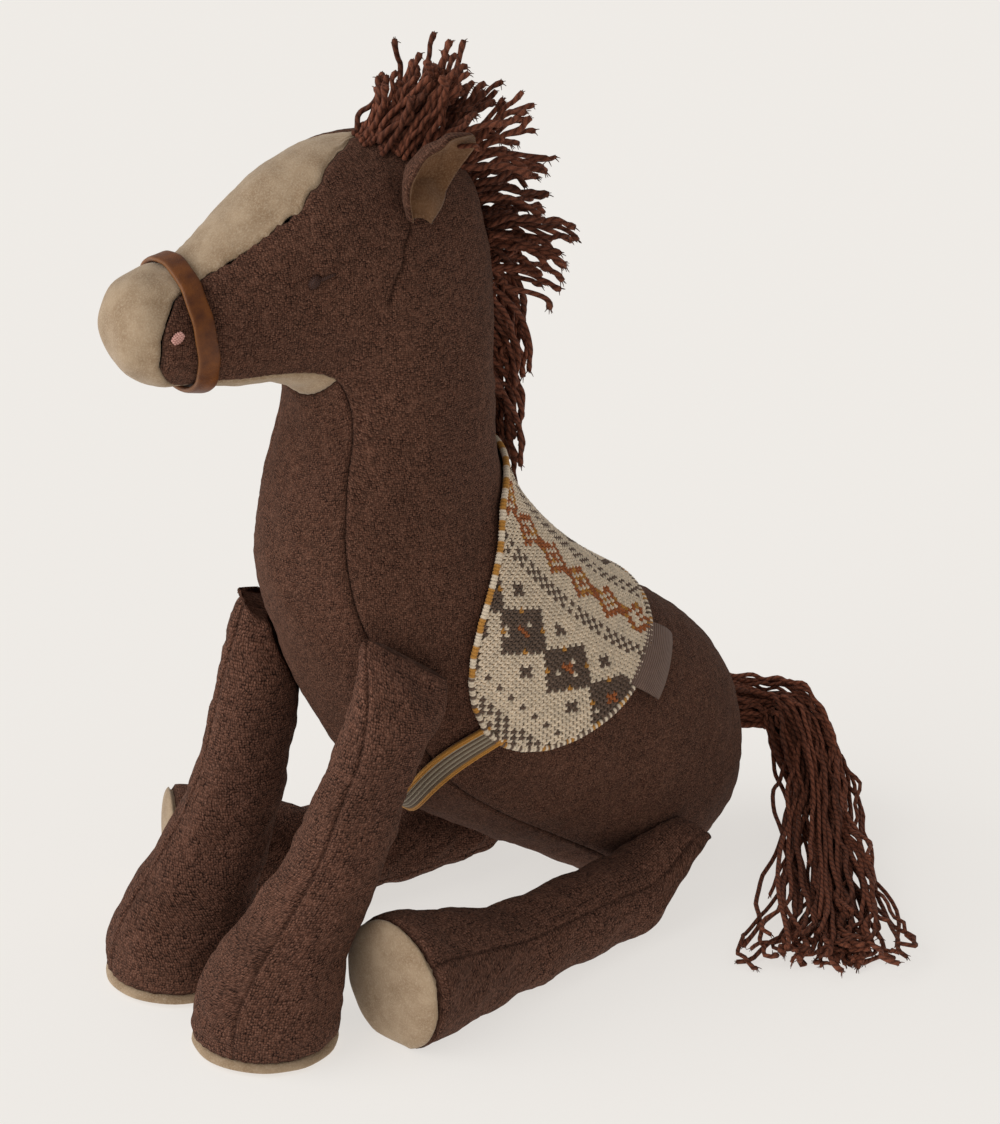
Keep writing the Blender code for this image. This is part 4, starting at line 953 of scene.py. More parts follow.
def make_face_stitches():
    """Nostrils of slanting satin stitches, and eyes of a small wound knot with one long stitch."""
    steps = np.linspace(-1.0, 1.0, 9)
    rise = np.sqrt(np.maximum(1.0 - steps**2, 0.0))
    for side, sign in SIDES.items():
        station, angle = 3.1, sign * math.radians(83.5)
        here, normal, along, around = skin_frame(station, angle)
        around = around * sign
        long_way = unit(along * 0.80 - around * 0.60)
        wide_way = np.cross(normal, long_way)
        rows = np.linspace(-1.0, 1.0, 6)
        half = 1.25 * MM * np.sqrt(1.0 - (rows * 0.8) ** 2)
        paths = (
            here
            + long_way * (rows * 1.45 * MM)[:, None, None]
            + wide_way * (steps[None] * half[:, None])[..., None]
            + normal * (0.15 * MM + 0.75 * MM * rise)[None, :, None]
        )
        nodes = [f"nostril_{side}"]
        name = f"nostril_{side}_stitches"
        thread_piece(name, PINK_THREAD, nodes, paths, 0.42 * MM)

        station, angle = 6.43, sign * math.radians(82.5)
        here, normal, along, around = skin_frame(station, angle)
        around = around * sign
        spin = np.linspace(0.0, math.pi, 8)[:-1]
        way = along * np.cos(spin)[:, None] + around * np.sin(spin)[:, None]
        paths = (
            here
            + way[:, None] * (steps * 1.7 * MM)[None, :, None]
            + normal * (-0.3 * MM + 1.5 * MM * rise)[None, :, None]
        )
        tip = skin(6.9, sign * math.radians(81.5), 0.0)
        share = (steps[:, None] + 1) / 2
        lash = here + (tip - here) * share + normal * (0.5 * MM * rise - 0.15 * MM)[:, None]
        paths = np.concatenate([paths, lash[None]])
        name = f"eye_{side}_knot"
        thread_piece(name, DARK_THREAD, [f"eye_{side}"], paths, 0.5 * MM)


# Ears: length, width, bow and fold of the cup, how they lean and which way their hollows look
EAR_LENGTH = 27.0 * MM
EAR_WIDTH = 18.0 * MM
EAR_BOW = 3.5 * MM
EAR_FOLD_DEG = 78.0
EAR_WIDTH_SHARES = (0.40, 0.68, 0.87, 0.97, 1.00, 0.97, 0.87, 0.68, 0.30)
EAR_LEAN = {"left": (0.35, 0.50, 0.80), "right": (0.05, 1.0, 0.30)}
EAR_FACING = (0.88, 0.36, 0.16)


def make_ears():
    """Ears cut as leaves and folded to a cup: an arc at each height, lined on the inside."""
    rows, columns = 44, 37
    for side, sign in SIDES.items():
        base, away, _, _ = skin_frame(8.65, sign * math.radians(62.0))
        base = base + away * CLOTH
        outward_share, back_share, up_share = EAR_LEAN[side]
        rise = unit(away * outward_share + np.array([0.0, back_share, up_share]))
        outward_share, back_share, up_share = EAR_FACING
        look = np.array([sign * outward_share, back_share, up_share])
        look = unit(look - rise * (look @ rise))
        across = np.cross(rise, look)
        height = np.linspace(0.0, 1.0, rows)[:, None]
        share = np.linspace(-1.0, 1.0, columns)[None]
        shares = np.array(EAR_WIDTH_SHARES)[:, None]
        wide = EAR_WIDTH / 2 * along_table(shares, height * (len(shares) - 1.0))[..., 0]
        tip = np.clip((height - 0.88) / 0.12, 0.0, 1.0)
        wide = wide * np.sqrt(1.0 - 0.99 * tip**2)
        fold = math.radians(EAR_FOLD_DEG) * (1.0 - 0.35 * height)
        radius = wide / np.sin(fold)
        sweep = share * fold
        middle = base + rise * ((height * EAR_LENGTH) + 0.0 * share)[..., None]
        middle = middle - look * (EAR_BOW * np.sin(math.pi * height) + 0.0 * share)[..., None]
        out_way = across * np.sin(sweep)[..., None] - look * np.cos(sweep)[..., None]
        hub = look * (radius * np.cos(fold))[..., None]
        rim = np.minimum((1.0 - np.abs(share)) * wide, (1.0 - height) * EAR_LENGTH)
        puff = 0.55 * MM * (1.0 - np.exp(-rim / (1.2 * MM)))
        plain = middle + hub + out_way * radius[..., None]
        bend = lumps(plain, 9.0 * MM, 21) * 0.45 * MM * np.minimum(4.0 * height, 1.0)
        shift = clear_of_body(plain, PRESS_GAP + 1.0 * MM) - plain
        layers = {
            "ear_back": (0.75 * MM + puff, 0.0 * puff, WOOL, "brown_wool"),
            "ear_lining": (-0.10 * MM + 0.0 * puff, -0.40 * MM - puff, LINING, "ear_lining"),
        }
        for layer, (outer_gap, inner_gap, finish, slot) in layers.items():
            grids = []
            for gap in (outer_gap, inner_gap):
                grids.append(middle + hub + out_way * (radius + gap + bend)[..., None] + shift)
            width_mm = (share * wide * 1.2) / MM
            uv = np.stack([width_mm, height * EAR_LENGTH / MM + 0.0 * share], axis=-1)
            points, quads, corner_uv = shell(grids[0], grids[1], uv)
            # Painted shade along the ear's rim, where back and lining meet
            crease_shade = np.exp(-((rim / (0.5 * MM)) ** 2)).ravel() * 0.3
            tones = {"crease_shade": np.concatenate([crease_shade, crease_shade])}
            name = f"{layer}_{side}"
            piece = build(f"{name}_cloth", finish, points, quads, corner_uv, tones=tones)
            place_piece(piece, f"ear_{side}", [name])


YARN_RADIUS = 0.72 * MM


def yarn_piece(name, paths, seed, sides=8, radius=YARN_RADIUS, node=None, body="torso"):
    """Strands of mane yarn along paths: thicker where the cut end frays, with loose fibres."""
    draw = np.random.default_rng(seed)
    strands, steps = paths.shape[:2]
    gaps = np.linalg.norm(np.diff(paths, axis=1), axis=-1)
    length = np.pad(np.cumsum(gaps, axis=1), ((0, 0), (1, 0)))
    left = length[:, -1:] - length
    swell = np.clip((3.0 * MM - left) / (2.2 * MM), 0.0, 1.0)
    swell = smooth_share(swell)
    fray = draw.uniform(0.15, 0.60, (strands, 1))
    radii = radius * draw.uniform(0.86, 1.12, (strands, 1)) * (1.0 + fray * swell)
    radii[:, -1] *= 0.75
    tone = draw.uniform(0.0, 1.0, strands)
    points, quads, triangles, uv = tubes(paths, radii, sides)
    tones = per_point(tone, steps, sides)
    fibres = 5
    tips = np.repeat(paths[:, -1], fibres, axis=0)
    ways = np.repeat(unit(paths[:, -1] - paths[:, -3]), fibres, axis=0)
    spread = unit(ways + draw.normal(size=ways.shape) * 0.55)
    reach = draw.uniform(0.8, 2.2, (len(tips), 1)) * MM
    share = np.linspace(0.0, 1.0, 4)[None, :, None]
    start = tips - ways * 0.6 * MM
    loose = start[:, None] + spread[:, None] * reach[:, None] * share
    loose[..., 2] -= 0.25 * reach * share[..., 0] ** 2
    thin = np.broadcast_to(np.array([0.22, 0.20, 0.15, 0.08]) * MM, loose.shape[:2])
    more, more_quads, more_triangles, more_uv = tubes(loose, thin, 3)
    start_at = len(points)
    points = np.concatenate([points, more])
    quads = np.concatenate([quads, more_quads + start_at])
    triangles = np.concatenate([triangles, more_triangles + start_at])
    uv = np.concatenate([uv, more_uv])
    tones = np.concatenate([tones, per_point(np.repeat(tone, fibres), 4, 3)])
    points = to_floor(points, 0.05 * MM)
    piece = build(name, MANE_YARN, points, quads, uv, triangles, {"tone": tones})
    return place_piece(piece, body, [node] if node else [])


def arching_paths(start, first_way, last_way, length, steps, seed, crinkle=0.55 * MM):
    """Strand paths that leave along one direction and turn evenly to another.

    A point at share t of the length is the start plus the length times t of the first way and
    half of t squared of the change of way, plus a small crinkle of two waves that grows with t.
    """
    draw = np.random.default_rng(seed)
    t = np.linspace(0.0, 1.0, steps)[None, :, None]
    change = last_way - first_way
    path = start[:, None] + length[:, None, None] * (
        first_way[:, None] * t + change[:, None] * t * t / 2
    )
    for wave_count in (1.0, 2.3):
        side = draw.normal(size=(len(start), 1, 3))
        phase = draw.uniform(0.0, 2 * math.pi, (len(start), 1, 1))
        waves = wave_count * length[:, None, None] / (16.0 * MM)
        sway = np.sin(2 * math.pi * waves * t + phase) - np.sin(phase)
        path = path + side * sway * crinkle * np.minimum(3.0 * t, 1.0) / wave_count
    return path


def make_forelock():
    """A fan of yarn sewn in beside the poll: all of it leans back, the rear strands the most."""
    draw = np.random.default_rng(31)
    count = 60
    bundle = draw.integers(0, 17, count)
    share = np.clip((bundle + draw.normal(0.3, 0.35, count)) / 17.0, 0.0, 1.0)
    tilt = draw.normal(0.0, 1.0, 17)[bundle]
    station = 7.72 + 0.90 * share
    angle = np.radians(11.0 + 12.0 * share + 5.0 * draw.normal(0.0, 1.0, count))
    start = skin(station, angle, -0.4 * MM)
    sideways = 0.22 * tilt + draw.normal(0.0, 0.12, count)
    back = 0.78 - 0.25 * share
    first = np.stack([sideways * 0.5, back, 0.66 + 0.2 * share], axis=-1)
    last = np.stack([sideways * 1.4, 0.40 + 0.50 * share, 0.85 - 0.30 * share], axis=-1)
    first = unit(first)
    last = unit(last + draw.normal(0.0, 0.28, (count, 3)))
    length = (18.5 + 7.0 * np.sqrt(share) + draw.uniform(-5.0, 3.0, count)) * MM
    paths = arching_paths(start, first, last, length, 24, 32)
    paths = clear_of_body(paths, 0.75 * MM)
    across = draw.normal(0.0, 1.0, (9, 1))
    t = np.linspace(0.0, 1.0, 24)[None]
    row_station = 7.98 + 0.78 * t + 0.03 * across
    row_angle = np.radians(9.0 + 5.0 * np.sin(t * 5.0 + across * 2.0) + 4.0 * across)
    row_out = 0.9 * MM + 1.4 * MM * np.abs(np.sin(t * 4.0 + across * 3.0))
    lying = skin(row_station, row_angle, row_out)
    loop_t = np.linspace(0.0, math.pi, 24)
    centre, normal, along, around = skin_frame(8.42, math.radians(16.0))
    loop = centre + along * (np.cos(loop_t) * -6.5 * MM)[:, None]
    loop = loop + normal * (np.sin(loop_t) * 6.0 * MM + 0.8 * MM)[:, None] + around * 1.5 * MM
    yarn_piece("forelock_yarn", np.concatenate([paths, lying, loop[None]]), 33, node="forelock")


def make_mane():
    """The crest: tufts that stand out behind the ears, then a lock that hangs down the neck."""
    draw = np.random.default_rng(41)
    count = 150
    share = draw.uniform(0.0, 1.0, count)
    station = 8.75 + 3.0 * share
    angle = np.radians(draw.normal(0.0, 11.0, count))
    start, normal, along, around = skin_frame(station, angle)
    start = start - normal * 0.4 * MM
    side = draw.normal(0.0, 0.45, count)[:, None] + 0.25 * np.sign(angle)[:, None]
    droop = np.array([0.0, 0.0, -1.0]) * (0.35 + 0.45 * share)[:, None]
    first = unit(normal + around * side * 0.5 + draw.normal(0.0, 0.12, (count, 3)))
    last = unit(normal + around * side + droop + draw.normal(0.0, 0.35, (count, 3)))
    length = draw.uniform(19.0, 28.0, count) * MM
    paths = clear_of_body(arching_paths(start, first, last, length, 22, 42), 1.30 * MM)
    yarn_piece("mane_crest_yarn", paths, 43, node="mane")

    count = 96
    share = draw.uniform(0.0, 1.0, count)
    station = 11.0 + 2.6 * share
    angle = np.radians(draw.normal(2.0, 9.0, count))
    start, normal, along, around = skin_frame(station, angle)
    start = start - normal * 0.4 * MM
    side = draw.normal(0.0, 0.22, count)[:, None]
    out_share = (draw.uniform(0.55, 1.5, count) * (1.15 - 0.45 * share))[:, None]
    first = unit(normal * out_share + along * 0.9 + around * side)
    last = unit(along * 1.0 - normal * 0.22 + np.array([0.0, 0.0, -0.5]) + around * side * 0.3)
    length = (draw.uniform(30.0, 50.0, count) - 14.0 * share) * MM
    paths = clear_of_body(arching_paths(start, first, last, length, 30, 44), 0.75 * MM)
    yarn_piece("mane_lock_yarn", paths, 45)


def tail_path():
    """The tail's middle line, its flat and thick directions and half sizes, row by row."""
    rows = np.array(TAIL_SHARES)
    root_height = TAIL_ROOT_HEIGHT_SHARE * BODY_HEIGHT
    path = np.empty((len(rows), 3))
    path[:, 0] = rows[:, 0] * TAIL_REACH_OUT
    path[:, 1] = rows[:, 1] * TAIL_REACH_BACK - rows[:, 2] * TAIL_END_AHEAD / 2
    path[:, 2] = rows[:, 3] * root_height
    path[0] = skin(STATION_TAIL, 0.0, PRESS_GAP)
    along = unit(np.gradient(path, axis=0))
    flat = unit(np.cross(along, np.array([0.0, 0.0, 1.0])))
    thick = np.cross(flat, along)
    half = rows[:, 4:6] * np.array([TAIL_WIDTH, TAIL_THICKNESS]) / 2
    return np.concatenate([path, flat, thick, half], axis=1)


def make_tail():
    """Long strands side by side in the tail's oval, each wandering slowly across it.

    Their starts are spread down the rump from the root, which fades out along the strand.
    """
    draw = np.random.default_rng(51)
    table = tail_path()
    count, steps = 104, 60
    reach = 1.0 - 0.30 * draw.uniform(0.0, 1.0, (count, 1)) ** 1.6
    t = np.linspace(0.0, 1.0, steps)[None]
    place = t * reach * (len(table) - 1.0)
    rows = along_table(table, place)
    radius = np.sqrt(draw.uniform(0.0, 1.0, (count, 1))) * 0.88
    turn = draw.uniform(0.0, 2 * math.pi, (count, 1))
    turn = turn + draw.normal(0.0, 1.1, (count, 1)) * t
    for wave_count, amount in ((1.3, 0.26), (2.9, 0.16), (5.3, 0.06)):
        phase = draw.uniform(0.0, 2 * math.pi, (count, 1))
        strength = amount * draw.uniform(0.3, 1.6, (count, 1))
        radius = radius + strength * np.sqrt(t) * np.sin(2 * math.pi * wave_count * t + phase)
    radius = np.clip(radius, -1.22, 1.22)
    lock = np.where(np.cos(turn[:, :1]) > 0.25, 1.0, -1.0)
    parting = np.clip((t - 0.70) / 0.30, 0.0, 1.0) ** 1.5 * lock * 3.0 * MM
    across = radius * np.cos(turn) * rows[..., 9] + parting
    depth = radius * np.sin(turn) * rows[..., 10]
    paths = rows[..., 0:3] + rows[..., 3:6] * across[..., None] + rows[..., 6:9] * depth[..., None]
    curl = np.clip((t - 0.86) / 0.14, 0.0, 1.0) ** 1.5
    paths = paths + draw.normal(0.0, 2.6 * MM, (count, 1, 3)) * curl[..., None]
    spin = draw.uniform(0.0, 2 * math.pi, (count, 1)) + 7.0 * curl
    ring = 1.8 * MM * draw.uniform(0.0, 1.0, (count, 1)) * curl
    paths[..., 0] += ring * np.cos(spin)
    paths[..., 1] += ring * np.sin(spin)
    fine = draw.normal(0.0, 1.0, (count, 1, 3)) * 0.35 * MM
    phase = draw.uniform(0.0, 2 * math.pi, (count, 1))
    paths = paths + fine * np.sin(2 * math.pi * t * 13.0 * reach + phase)[..., None]
    root_station = STATION_TAIL + TAIL_ROOT_STATIONS * draw.uniform(0.0, 1.0, count)
    from_root = skin(root_station, np.zeros(count), PRESS_GAP) - table[0, 0:3]
    paths = paths + from_root[:, None] * (np.clip(1.0 - t / 0.60, 0.0, 1.0) ** 1.4)[..., None]
    paths = clear_of_body(paths, PRESS_GAP + 0.4 * MM, table[0, 0:3], TAIL_PRESS_DEG, "Z")
    paths = to_floor(paths, 0.75 * MM)
    yarn_piece("tail_yarn", paths, 52, radius=0.66 * MM, node="tail", body="tail")


# Knitting: width and height of one stitch, and the dyes
STITCH_WIDTH = 1.70 * MM
STITCH_ROW = 1.35 * MM
CREAM = (0.860, 0.710, 0.535)
GREY_BROWN = (0.170, 0.112, 0.080)
RUST = (0.440, 0.140, 0.045)
MUSTARD = (0.560, 0.260, 0.055)
DYES = np.array([(*dye, 1.0) for dye in (CREAM, GREY_BROWN, RUST, MUSTARD)])


def blanket_edges(share):
    """Stations of the blanket's front and rear edge at shares of its reach from the spine."""
    place = np.interp(share, BLANKET_EDGE_SHARES, np.arange(len(BLANKET_EDGE_SHARES)))
    table = np.stack([BLANKET_FRONT_STATIONS, BLANKET_REAR_STATIONS], axis=-1)
    edges = along_table(table, place)
    return edges[..., 0], edges[..., 1]


def knit_dye(row, column):
    """Which of the four dyes a stitch has: zigzags, broken checks and rows of stepped lozenges."""
    dye = np.zeros(row.shape, int)
    stray = np.random.default_rng(62).uniform(0.0, 1.0, row.shape)
    zigzag = np.abs((column + 3) % 10 - 5)
    dye[(row >= 2) & (row <= 8) & (np.abs(zigzag - row + 2.5) <= 1)] = 1
    checks = ((row >= 12) & (row <= 15)) | ((row >= 29) & (row <= 31)) | (row >= 58)
    dye[checks & ((row + column) % 2 == 0) & (stray > 0.08)] = 1
    wide = np.abs((column + 4) % 8 - 4)
    high = np.abs(row - 22)
    dye[(np.abs(wide - high - 0.5) <= 0.5) & (high <= 4) & (stray > 0.06)] = 2
    dye[(4 - wide + high <= 1) & (stray > 0.1)] = 2
    dye[(wide + high <= 1) & (stray > 0.3)] = 2
    dye[(dye == 2) & (stray > 0.84)] = 3
    across = np.abs((column + 5) % 12 - 6)
    down = np.abs(row - 42)
    dye[(across + down <= 6) & (stray > 0.04)] = 1
    dye[(across + down <= 1) & (stray > 0.4)] = 2
    dye[(across == 3) & (down == 3)] = 3
    dye[(6 - across + np.abs(down - 6) <= 1) & (stray > 0.1)] = 1
    dye[(row == 54) & (column % 3 == 0)] = 1
    return dye


def knit_places():
    """Station and angle of every stitch of the blanket's left half, from its arc lengths.

    Rows are counted down from the spine and columns from the middle of the blanket. The place is
    stepped towards the wanted arc lengths, read from a table of the surface, until it agrees.
    """
    start, end = BLANKET_FRONT_STATIONS[0], BLANKET_REAR_STATIONS[0]
    middle = BLANKET_FRONT_STATIONS[-1]
    stations = np.linspace(start - 0.4, end + 0.4, 90)
    angles = np.radians(np.linspace(0.0, 124.0, 90))
    grid = section(stations[:, None] + 0.0 * angles, angles[None] + 0.0 * stations[:, None])
    down = arc_lengths(grid, 1)
    along = arc_lengths(grid, 0)
    centre = np.array([np.interp(middle, stations, along[:, k]) for k in range(len(angles))])
    along = along - centre[None]
    rows = np.arange(73)
    columns = np.arange(-34, 35)
    row, column = np.meshgrid(rows, columns, indexing="ij")
    want_down = (row + 0.5) * STITCH_ROW
    want_along = (column + 0.0) * STITCH_WIDTH
    station = np.full(row.shape, middle)
    angle = want_down / (TRUNK_WIDTH / 2)
    step_s = stations[1] - stations[0]
    step_a = angles[1] - angles[0]
    for _ in range(12):
        s = np.clip((station - stations[0]) / step_s, 0.0, len(stations) - 1.001)
        a = np.clip((angle - angles[0]) / step_a, 0.0, len(angles) - 1.001)
        i, j = s.astype(int), a.astype(int)
        u, v = s - i, a - j
        weights = ((1 - u) * (1 - v), u * (1 - v), (1 - u) * v, u * v)
        corners = ((i, j), (i + 1, j), (i, j + 1), (i + 1, j + 1))
        down_here = sum(w * down[c] for w, c in zip(weights, corners))
        along_here = sum(w * along[c] for w, c in zip(weights, corners))
        slope_s = (along[i + 1, j] - along[i, j]) / step_s
        slope_a = (down[i, j + 1] - down[i, j]) / step_a
        station = station + 0.8 * (want_along - along_here) / slope_s
        angle = angle + 0.8 * (want_down - down_here) / slope_a
        station = np.clip(station, start - 0.4, end + 0.4)
        angle = np.clip(angle, 0.0, angles[-1])
    share = angle / math.radians(BLANKET_REACH_DEG)
    front, rear = blanket_edges(np.clip(share, 0.0, 1.0))
    hem = 0.07
    inside = (share < 0.985) & (station > front + hem) & (station < rear - hem)
    return row[inside], column[inside], station[inside], angle[inside]


def make_blanket():
    """The knitted blanket: a cloth with two yarn legs to each stitch, and an overlocked rim."""
    rows = int(170.0 * MM / MESH_STEP)
    down = np.sin(np.linspace(-1.0, 1.0, rows) * math.radians(86.0))
    front, rear = blanket_edges(np.abs(down))
    share = np.linspace(0.0, 1.0, int(72.0 * MM / MESH_STEP))
    places = front[:, None] + (rear - front)[:, None] * share
    angles = math.radians(BLANKET_REACH_DEG) * down[:, None] + 0.0 * places
    outer = skin(places, angles, np.full(angles.shape, LAY_GAP + 0.8 * MM))
    inner = skin(places, angles, np.full(angles.shape, LAY_GAP))
    uv = np.stack([arc_lengths(outer, 1), arc_lengths(outer, 0)], axis=-1) / MM
    points, quads, corner_uv = shell(outer, inner, uv)
    # Painted shade: the cloth under the stitches is a dim brown that shows as shade between them
    gap_shade = np.broadcast_to(np.array([0.10, 0.072, 0.050, 1.0]), (len(points), 4))
    cloth = build("saddle_blanket_knit", KNIT_YARN, points, quads, corner_uv, tones={"dye": gap_shade})
    place_piece(cloth, "blanket", ["saddle_blanket"])

    row, column, station, angle = knit_places()
    for side, sign in SIDES.items():
        here, normal, along, around = skin_frame(station, sign * angle)
        down = around * sign
        draw = np.random.default_rng(61)
        paths = []
        for way in (-1.0, 1.0):
            marks = []
            for along_share, down_share, height in (
                (0.42, -0.66, 0.75),
                (0.27, -0.05, 1.25),
                (0.04, 0.56, 0.85),
            ):
                marks.append(
                    here
                    + along * (way * along_share * STITCH_WIDTH)
                    + down * (down_share * STITCH_ROW)
                    + normal * (LAY_GAP + height * MM)
                )
            paths.append(np.stack(marks, axis=1))
        paths = np.concatenate(paths)
        paths = paths + draw.normal(0.0, 0.04 * MM, paths.shape)
        radii = np.broadcast_to(np.array([0.29, 0.44, 0.27]) * MM, paths.shape[:2])
        points, quads, triangles, uv = tubes(paths, radii, 4)
        colours = DYES[knit_dye(row, column)]
        colours = np.concatenate([colours, colours])
        colours = colours * draw.uniform(0.84, 1.12, (len(colours), 1))
        tones = {"dye": per_point(colours, 3, 4)}
        name = f"saddle_blanket_stitches_{side}"
        piece = build(name, KNIT_YARN, points, quads, uv, triangles, tones)
        place_piece(piece, "blanket")
    make_blanket_rim()
    make_label()
    make_girth()


def make_blanket_rim():
    """The overlocked edge: a ribbed roll along the outline, its thread coloured in blocks."""
    steps, sides = 1500, 7
    turn = np.linspace(0.0, 2 * math.pi, 4 * steps)
    share = np.sin(turn)
    front, rear = blanket_edges(np.abs(share))
    ahead = np.cos(turn) > 0.0
    station = np.where(ahead, front, rear)
    angle = math.radians(BLANKET_REACH_DEG) * share
    coarse = skin(station, angle, np.full(len(turn), LAY_GAP + 0.75 * MM))
    length = arc_lengths(coarse[None], 1)[0]
    even = np.linspace(0.0, length[-1], steps)
    path = np.stack([np.interp(even, length, coarse[:, k]) for k in range(3)], axis=-1)[None]
    in_front = np.interp(even, length, ahead.astype(float)) > 0.5
    low = np.interp(even, length, np.abs(share)) > 0.93
    ribs = np.abs(np.sin(math.pi * even / (0.95 * MM)))
    radii = (0.72 * MM + 0.30 * MM * ribs)[None]
    points, quads, triangles, uv = tubes(path, radii, sides)
    block = np.floor(even / (3.4 * MM) + 0.4 * np.sin(even / (7.0 * MM))).astype(int)
    rib = np.floor(even / (0.95 * MM)).astype(int)
    front_dye = np.where(block % 2 == 0, 3, 0)
    rear_dye = np.where(rib % 2 == 0, 0, np.where(block % 3 == 0, 3, 1))
    low_dye = np.where(rib % 3 == 0, 1, np.where(block % 4 == 0, 3, 0))
    dye = np.where(low, low_dye, np.where(in_front, front_dye, rear_dye))
    # Painted shade: the thread colour is dimmed in the valleys between the ribs
    colours = DYES[dye] * (0.66 + 0.40 * ribs[:, None])
    tones = np.concatenate([np.repeat(colours, sides, axis=0), colours[:1], colours[-1:]])
    name = "saddle_blanket_rim"
    piece = build(name, KNIT_YARN, points, quads, uv, triangles, {"dye": tones})
    return place_piece(piece, "blanket")


def make_label():
    """A folded woven tab in the rear edge: two layers with a soft fold at its outer end."""
    per_station = metres_per_station(BLANKET_REAR_STATIONS[0], 1.0)
    rows, columns = 26, 40
    out_way = np.linspace(0.0, 1.0, rows)[:, None]
    share = np.linspace(0.0, 1.0, columns)[None]
    angles = np.radians(LABEL_DEG[0] + (LABEL_DEG[1] - LABEL_DEG[0]) * share + 1.0 * out_way)
    _, rear = blanket_edges(angles / math.radians(BLANKET_REACH_DEG))
    places = rear - 0.12 + out_way * (LABEL_WIDTH + 1.8 * MM) / per_station
    lift = LAY_GAP + 0.1 * MM + 1.1 * MM * np.sin(out_way * math.pi * 0.8) + 0.3 * MM * share
    thick = 0.8 * MM * (1.0 - out_way**6) + 0.25 * MM
    outer = skin(places, angles, lift + thick)
    inner = skin(places, angles, lift + 0.0 * thick)
    uv = np.stack([arc_lengths(outer, 0), arc_lengths(outer, 1)], axis=-1) / MM
    points, quads, corner_uv = shell(outer, inner, uv)
    piece = build("label_tab_weave", TAB, points, quads, corner_uv)
    return place_piece(piece, "blanket", ["label_tab"])


def make_girth():
    """The elastic girth: lengthwise ribs under the belly, mustard edges, cream and grey inside."""
    per_station = metres_per_station(STATION_GIRTH, GIRTH_MEASURE_ANGLE)
    rows, columns = 49, 190
    across = np.linspace(-1.0, 1.0, rows)[:, None]
    start = STATION_GIRTH + across * GIRTH_WIDTH / 2 / per_station
    front, rear = blanket_edges(np.linspace(0.9, 1.0, 40))
    hem_shares = np.r_[0.9:1.0:40j, 1.0:0.9:40j]
    hem = np.interp(start[:, 0], np.concatenate([front, rear[::-1]]), hem_shares)
    reach = math.pi - math.radians(BLANKET_REACH_DEG) * (hem[:, None] - 0.02)
    share = np.linspace(-1.0, 1.0, columns)[None]
    angles = math.pi + reach * share
    slip = np.cos(share * math.pi / 2) ** 2 * (1.0 + GIRTH_SLIP_RIGHT_SHARE * share)
    places = start + GIRTH_SLIP_STATIONS * slip
    from_middle = np.abs(across)
    edge = from_middle > 0.70
    rib_count = 12.0
    ribs = np.abs(np.sin(math.pi * across * rib_count / 2))
    cord = np.abs(np.sin(math.pi * np.linspace(0.0, 110.0, columns)))[None]
    out = LAY_GAP + 0.6 * MM + 0.30 * MM * ribs + 0.35 * MM * edge + 0.12 * MM * cord * edge
    out = out - 0.5 * MM * (from_middle > 0.97)
    outer = skin(places, angles, out)
    inner = skin(places, angles, np.full(out.shape, LAY_GAP))
    uv = np.stack([arc_lengths(outer, 0), arc_lengths(outer, 1)], axis=-1) / MM
    points, quads, corner_uv = shell(outer, inner, uv)
    stripe = np.floor((across + 1.0) * rib_count / 2).astype(int) % 2
    dyes = np.array([(*dye, 1.0) for dye in ((0.40, 0.33, 0.24), (0.17, 0.12, 0.08), MUSTARD)])
    dye = np.where(edge, 2, stripe)
    # Painted shade: the colour is dimmed in the valleys between the ribs
    colours = dyes[dye] * np.where(ribs > 0.35, 1.0, 0.6)[..., None]
    colours = np.broadcast_to(colours, (rows, columns, 4)).reshape(-1, 4)
    tones = {"dye": np.concatenate([colours, colours])}
    piece = build("girth_elastic_strap", ELASTIC, points, quads, corner_uv, tones=tones)
    return place_piece(piece, "blanket", ["girth_elastic"])


LEG_SEAM_DEG = {
    "front_leg_left": -64.0,
    "front_leg_right": -77.0,
    "hind_leg_left": 34.0,
    "hind_leg_right": 146.0,
}


def sized_rows(leg_shares, leg_radius, foot_shares, foot_radius):
    """Leg and foot rows with their two half sizes in metres."""
    leg = np.array(leg_shares)
    foot = np.array(foot_shares)
    leg[:, -2:] *= leg_radius
    foot[:, -2:] *= foot_radius
    return np.concatenate([leg, foot])


FRONT_ROWS = sized_rows(FRONT_LEG_SHARES, FRONT_LEG_RADIUS, FRONT_FOOT_SHARES, FRONT_FOOT_RADIUS)
HIND_ROWS = sized_rows(HIND_LEG_SHARES, HIND_LEG_RADIUS, HIND_FOOT_SHARES, HIND_FOOT_RADIUS)


def front_leg_rings(side, sign, place, turn):
    """Level ellipses from the sewn top to the foot; place counts the rows of the leg's table."""
    row = along_table(FRONT_ROWS, place)
    drop, forward, wide, deep = (row[..., k, None] for k in range(4))
    forward = np.clip(forward, 0.0, 1.0) ** FRONT_LEG_BOW[side]
    out = FRONT_ROOT_OUT[side] + (FRONT_FOOT_OUT[side] - FRONT_ROOT_OUT[side]) * forward
    ahead = FRONT_ROOT_AHEAD + (FRONT_FOOT_AHEAD[side] - FRONT_ROOT_AHEAD) * forward
    height = FRONT_ROOT_HEIGHT - FRONT_SOLE_THICKNESS - PIECE_GAP
    top = np.clip(drop / FRONT_TOP_SHARE, 0.0, 1.0)
    top = 1.0 - smooth_share(top)
    skew = math.radians(FRONT_TOP_TURN_DEG) * top
    across = wide * np.cos(turn)
    along = deep * np.sin(turn)
    x = sign * (out + across * np.cos(skew) + along * np.sin(skew))
    y = -ahead + along * np.cos(skew) - across * np.sin(skew) + FRONT_TOP_BACK * top
    z = FRONT_ROOT_HEIGHT - drop * height - along * FRONT_TOP_SLOPE_SHARE * top
    return np.stack(np.broadcast_arrays(x, y, z), axis=-1)


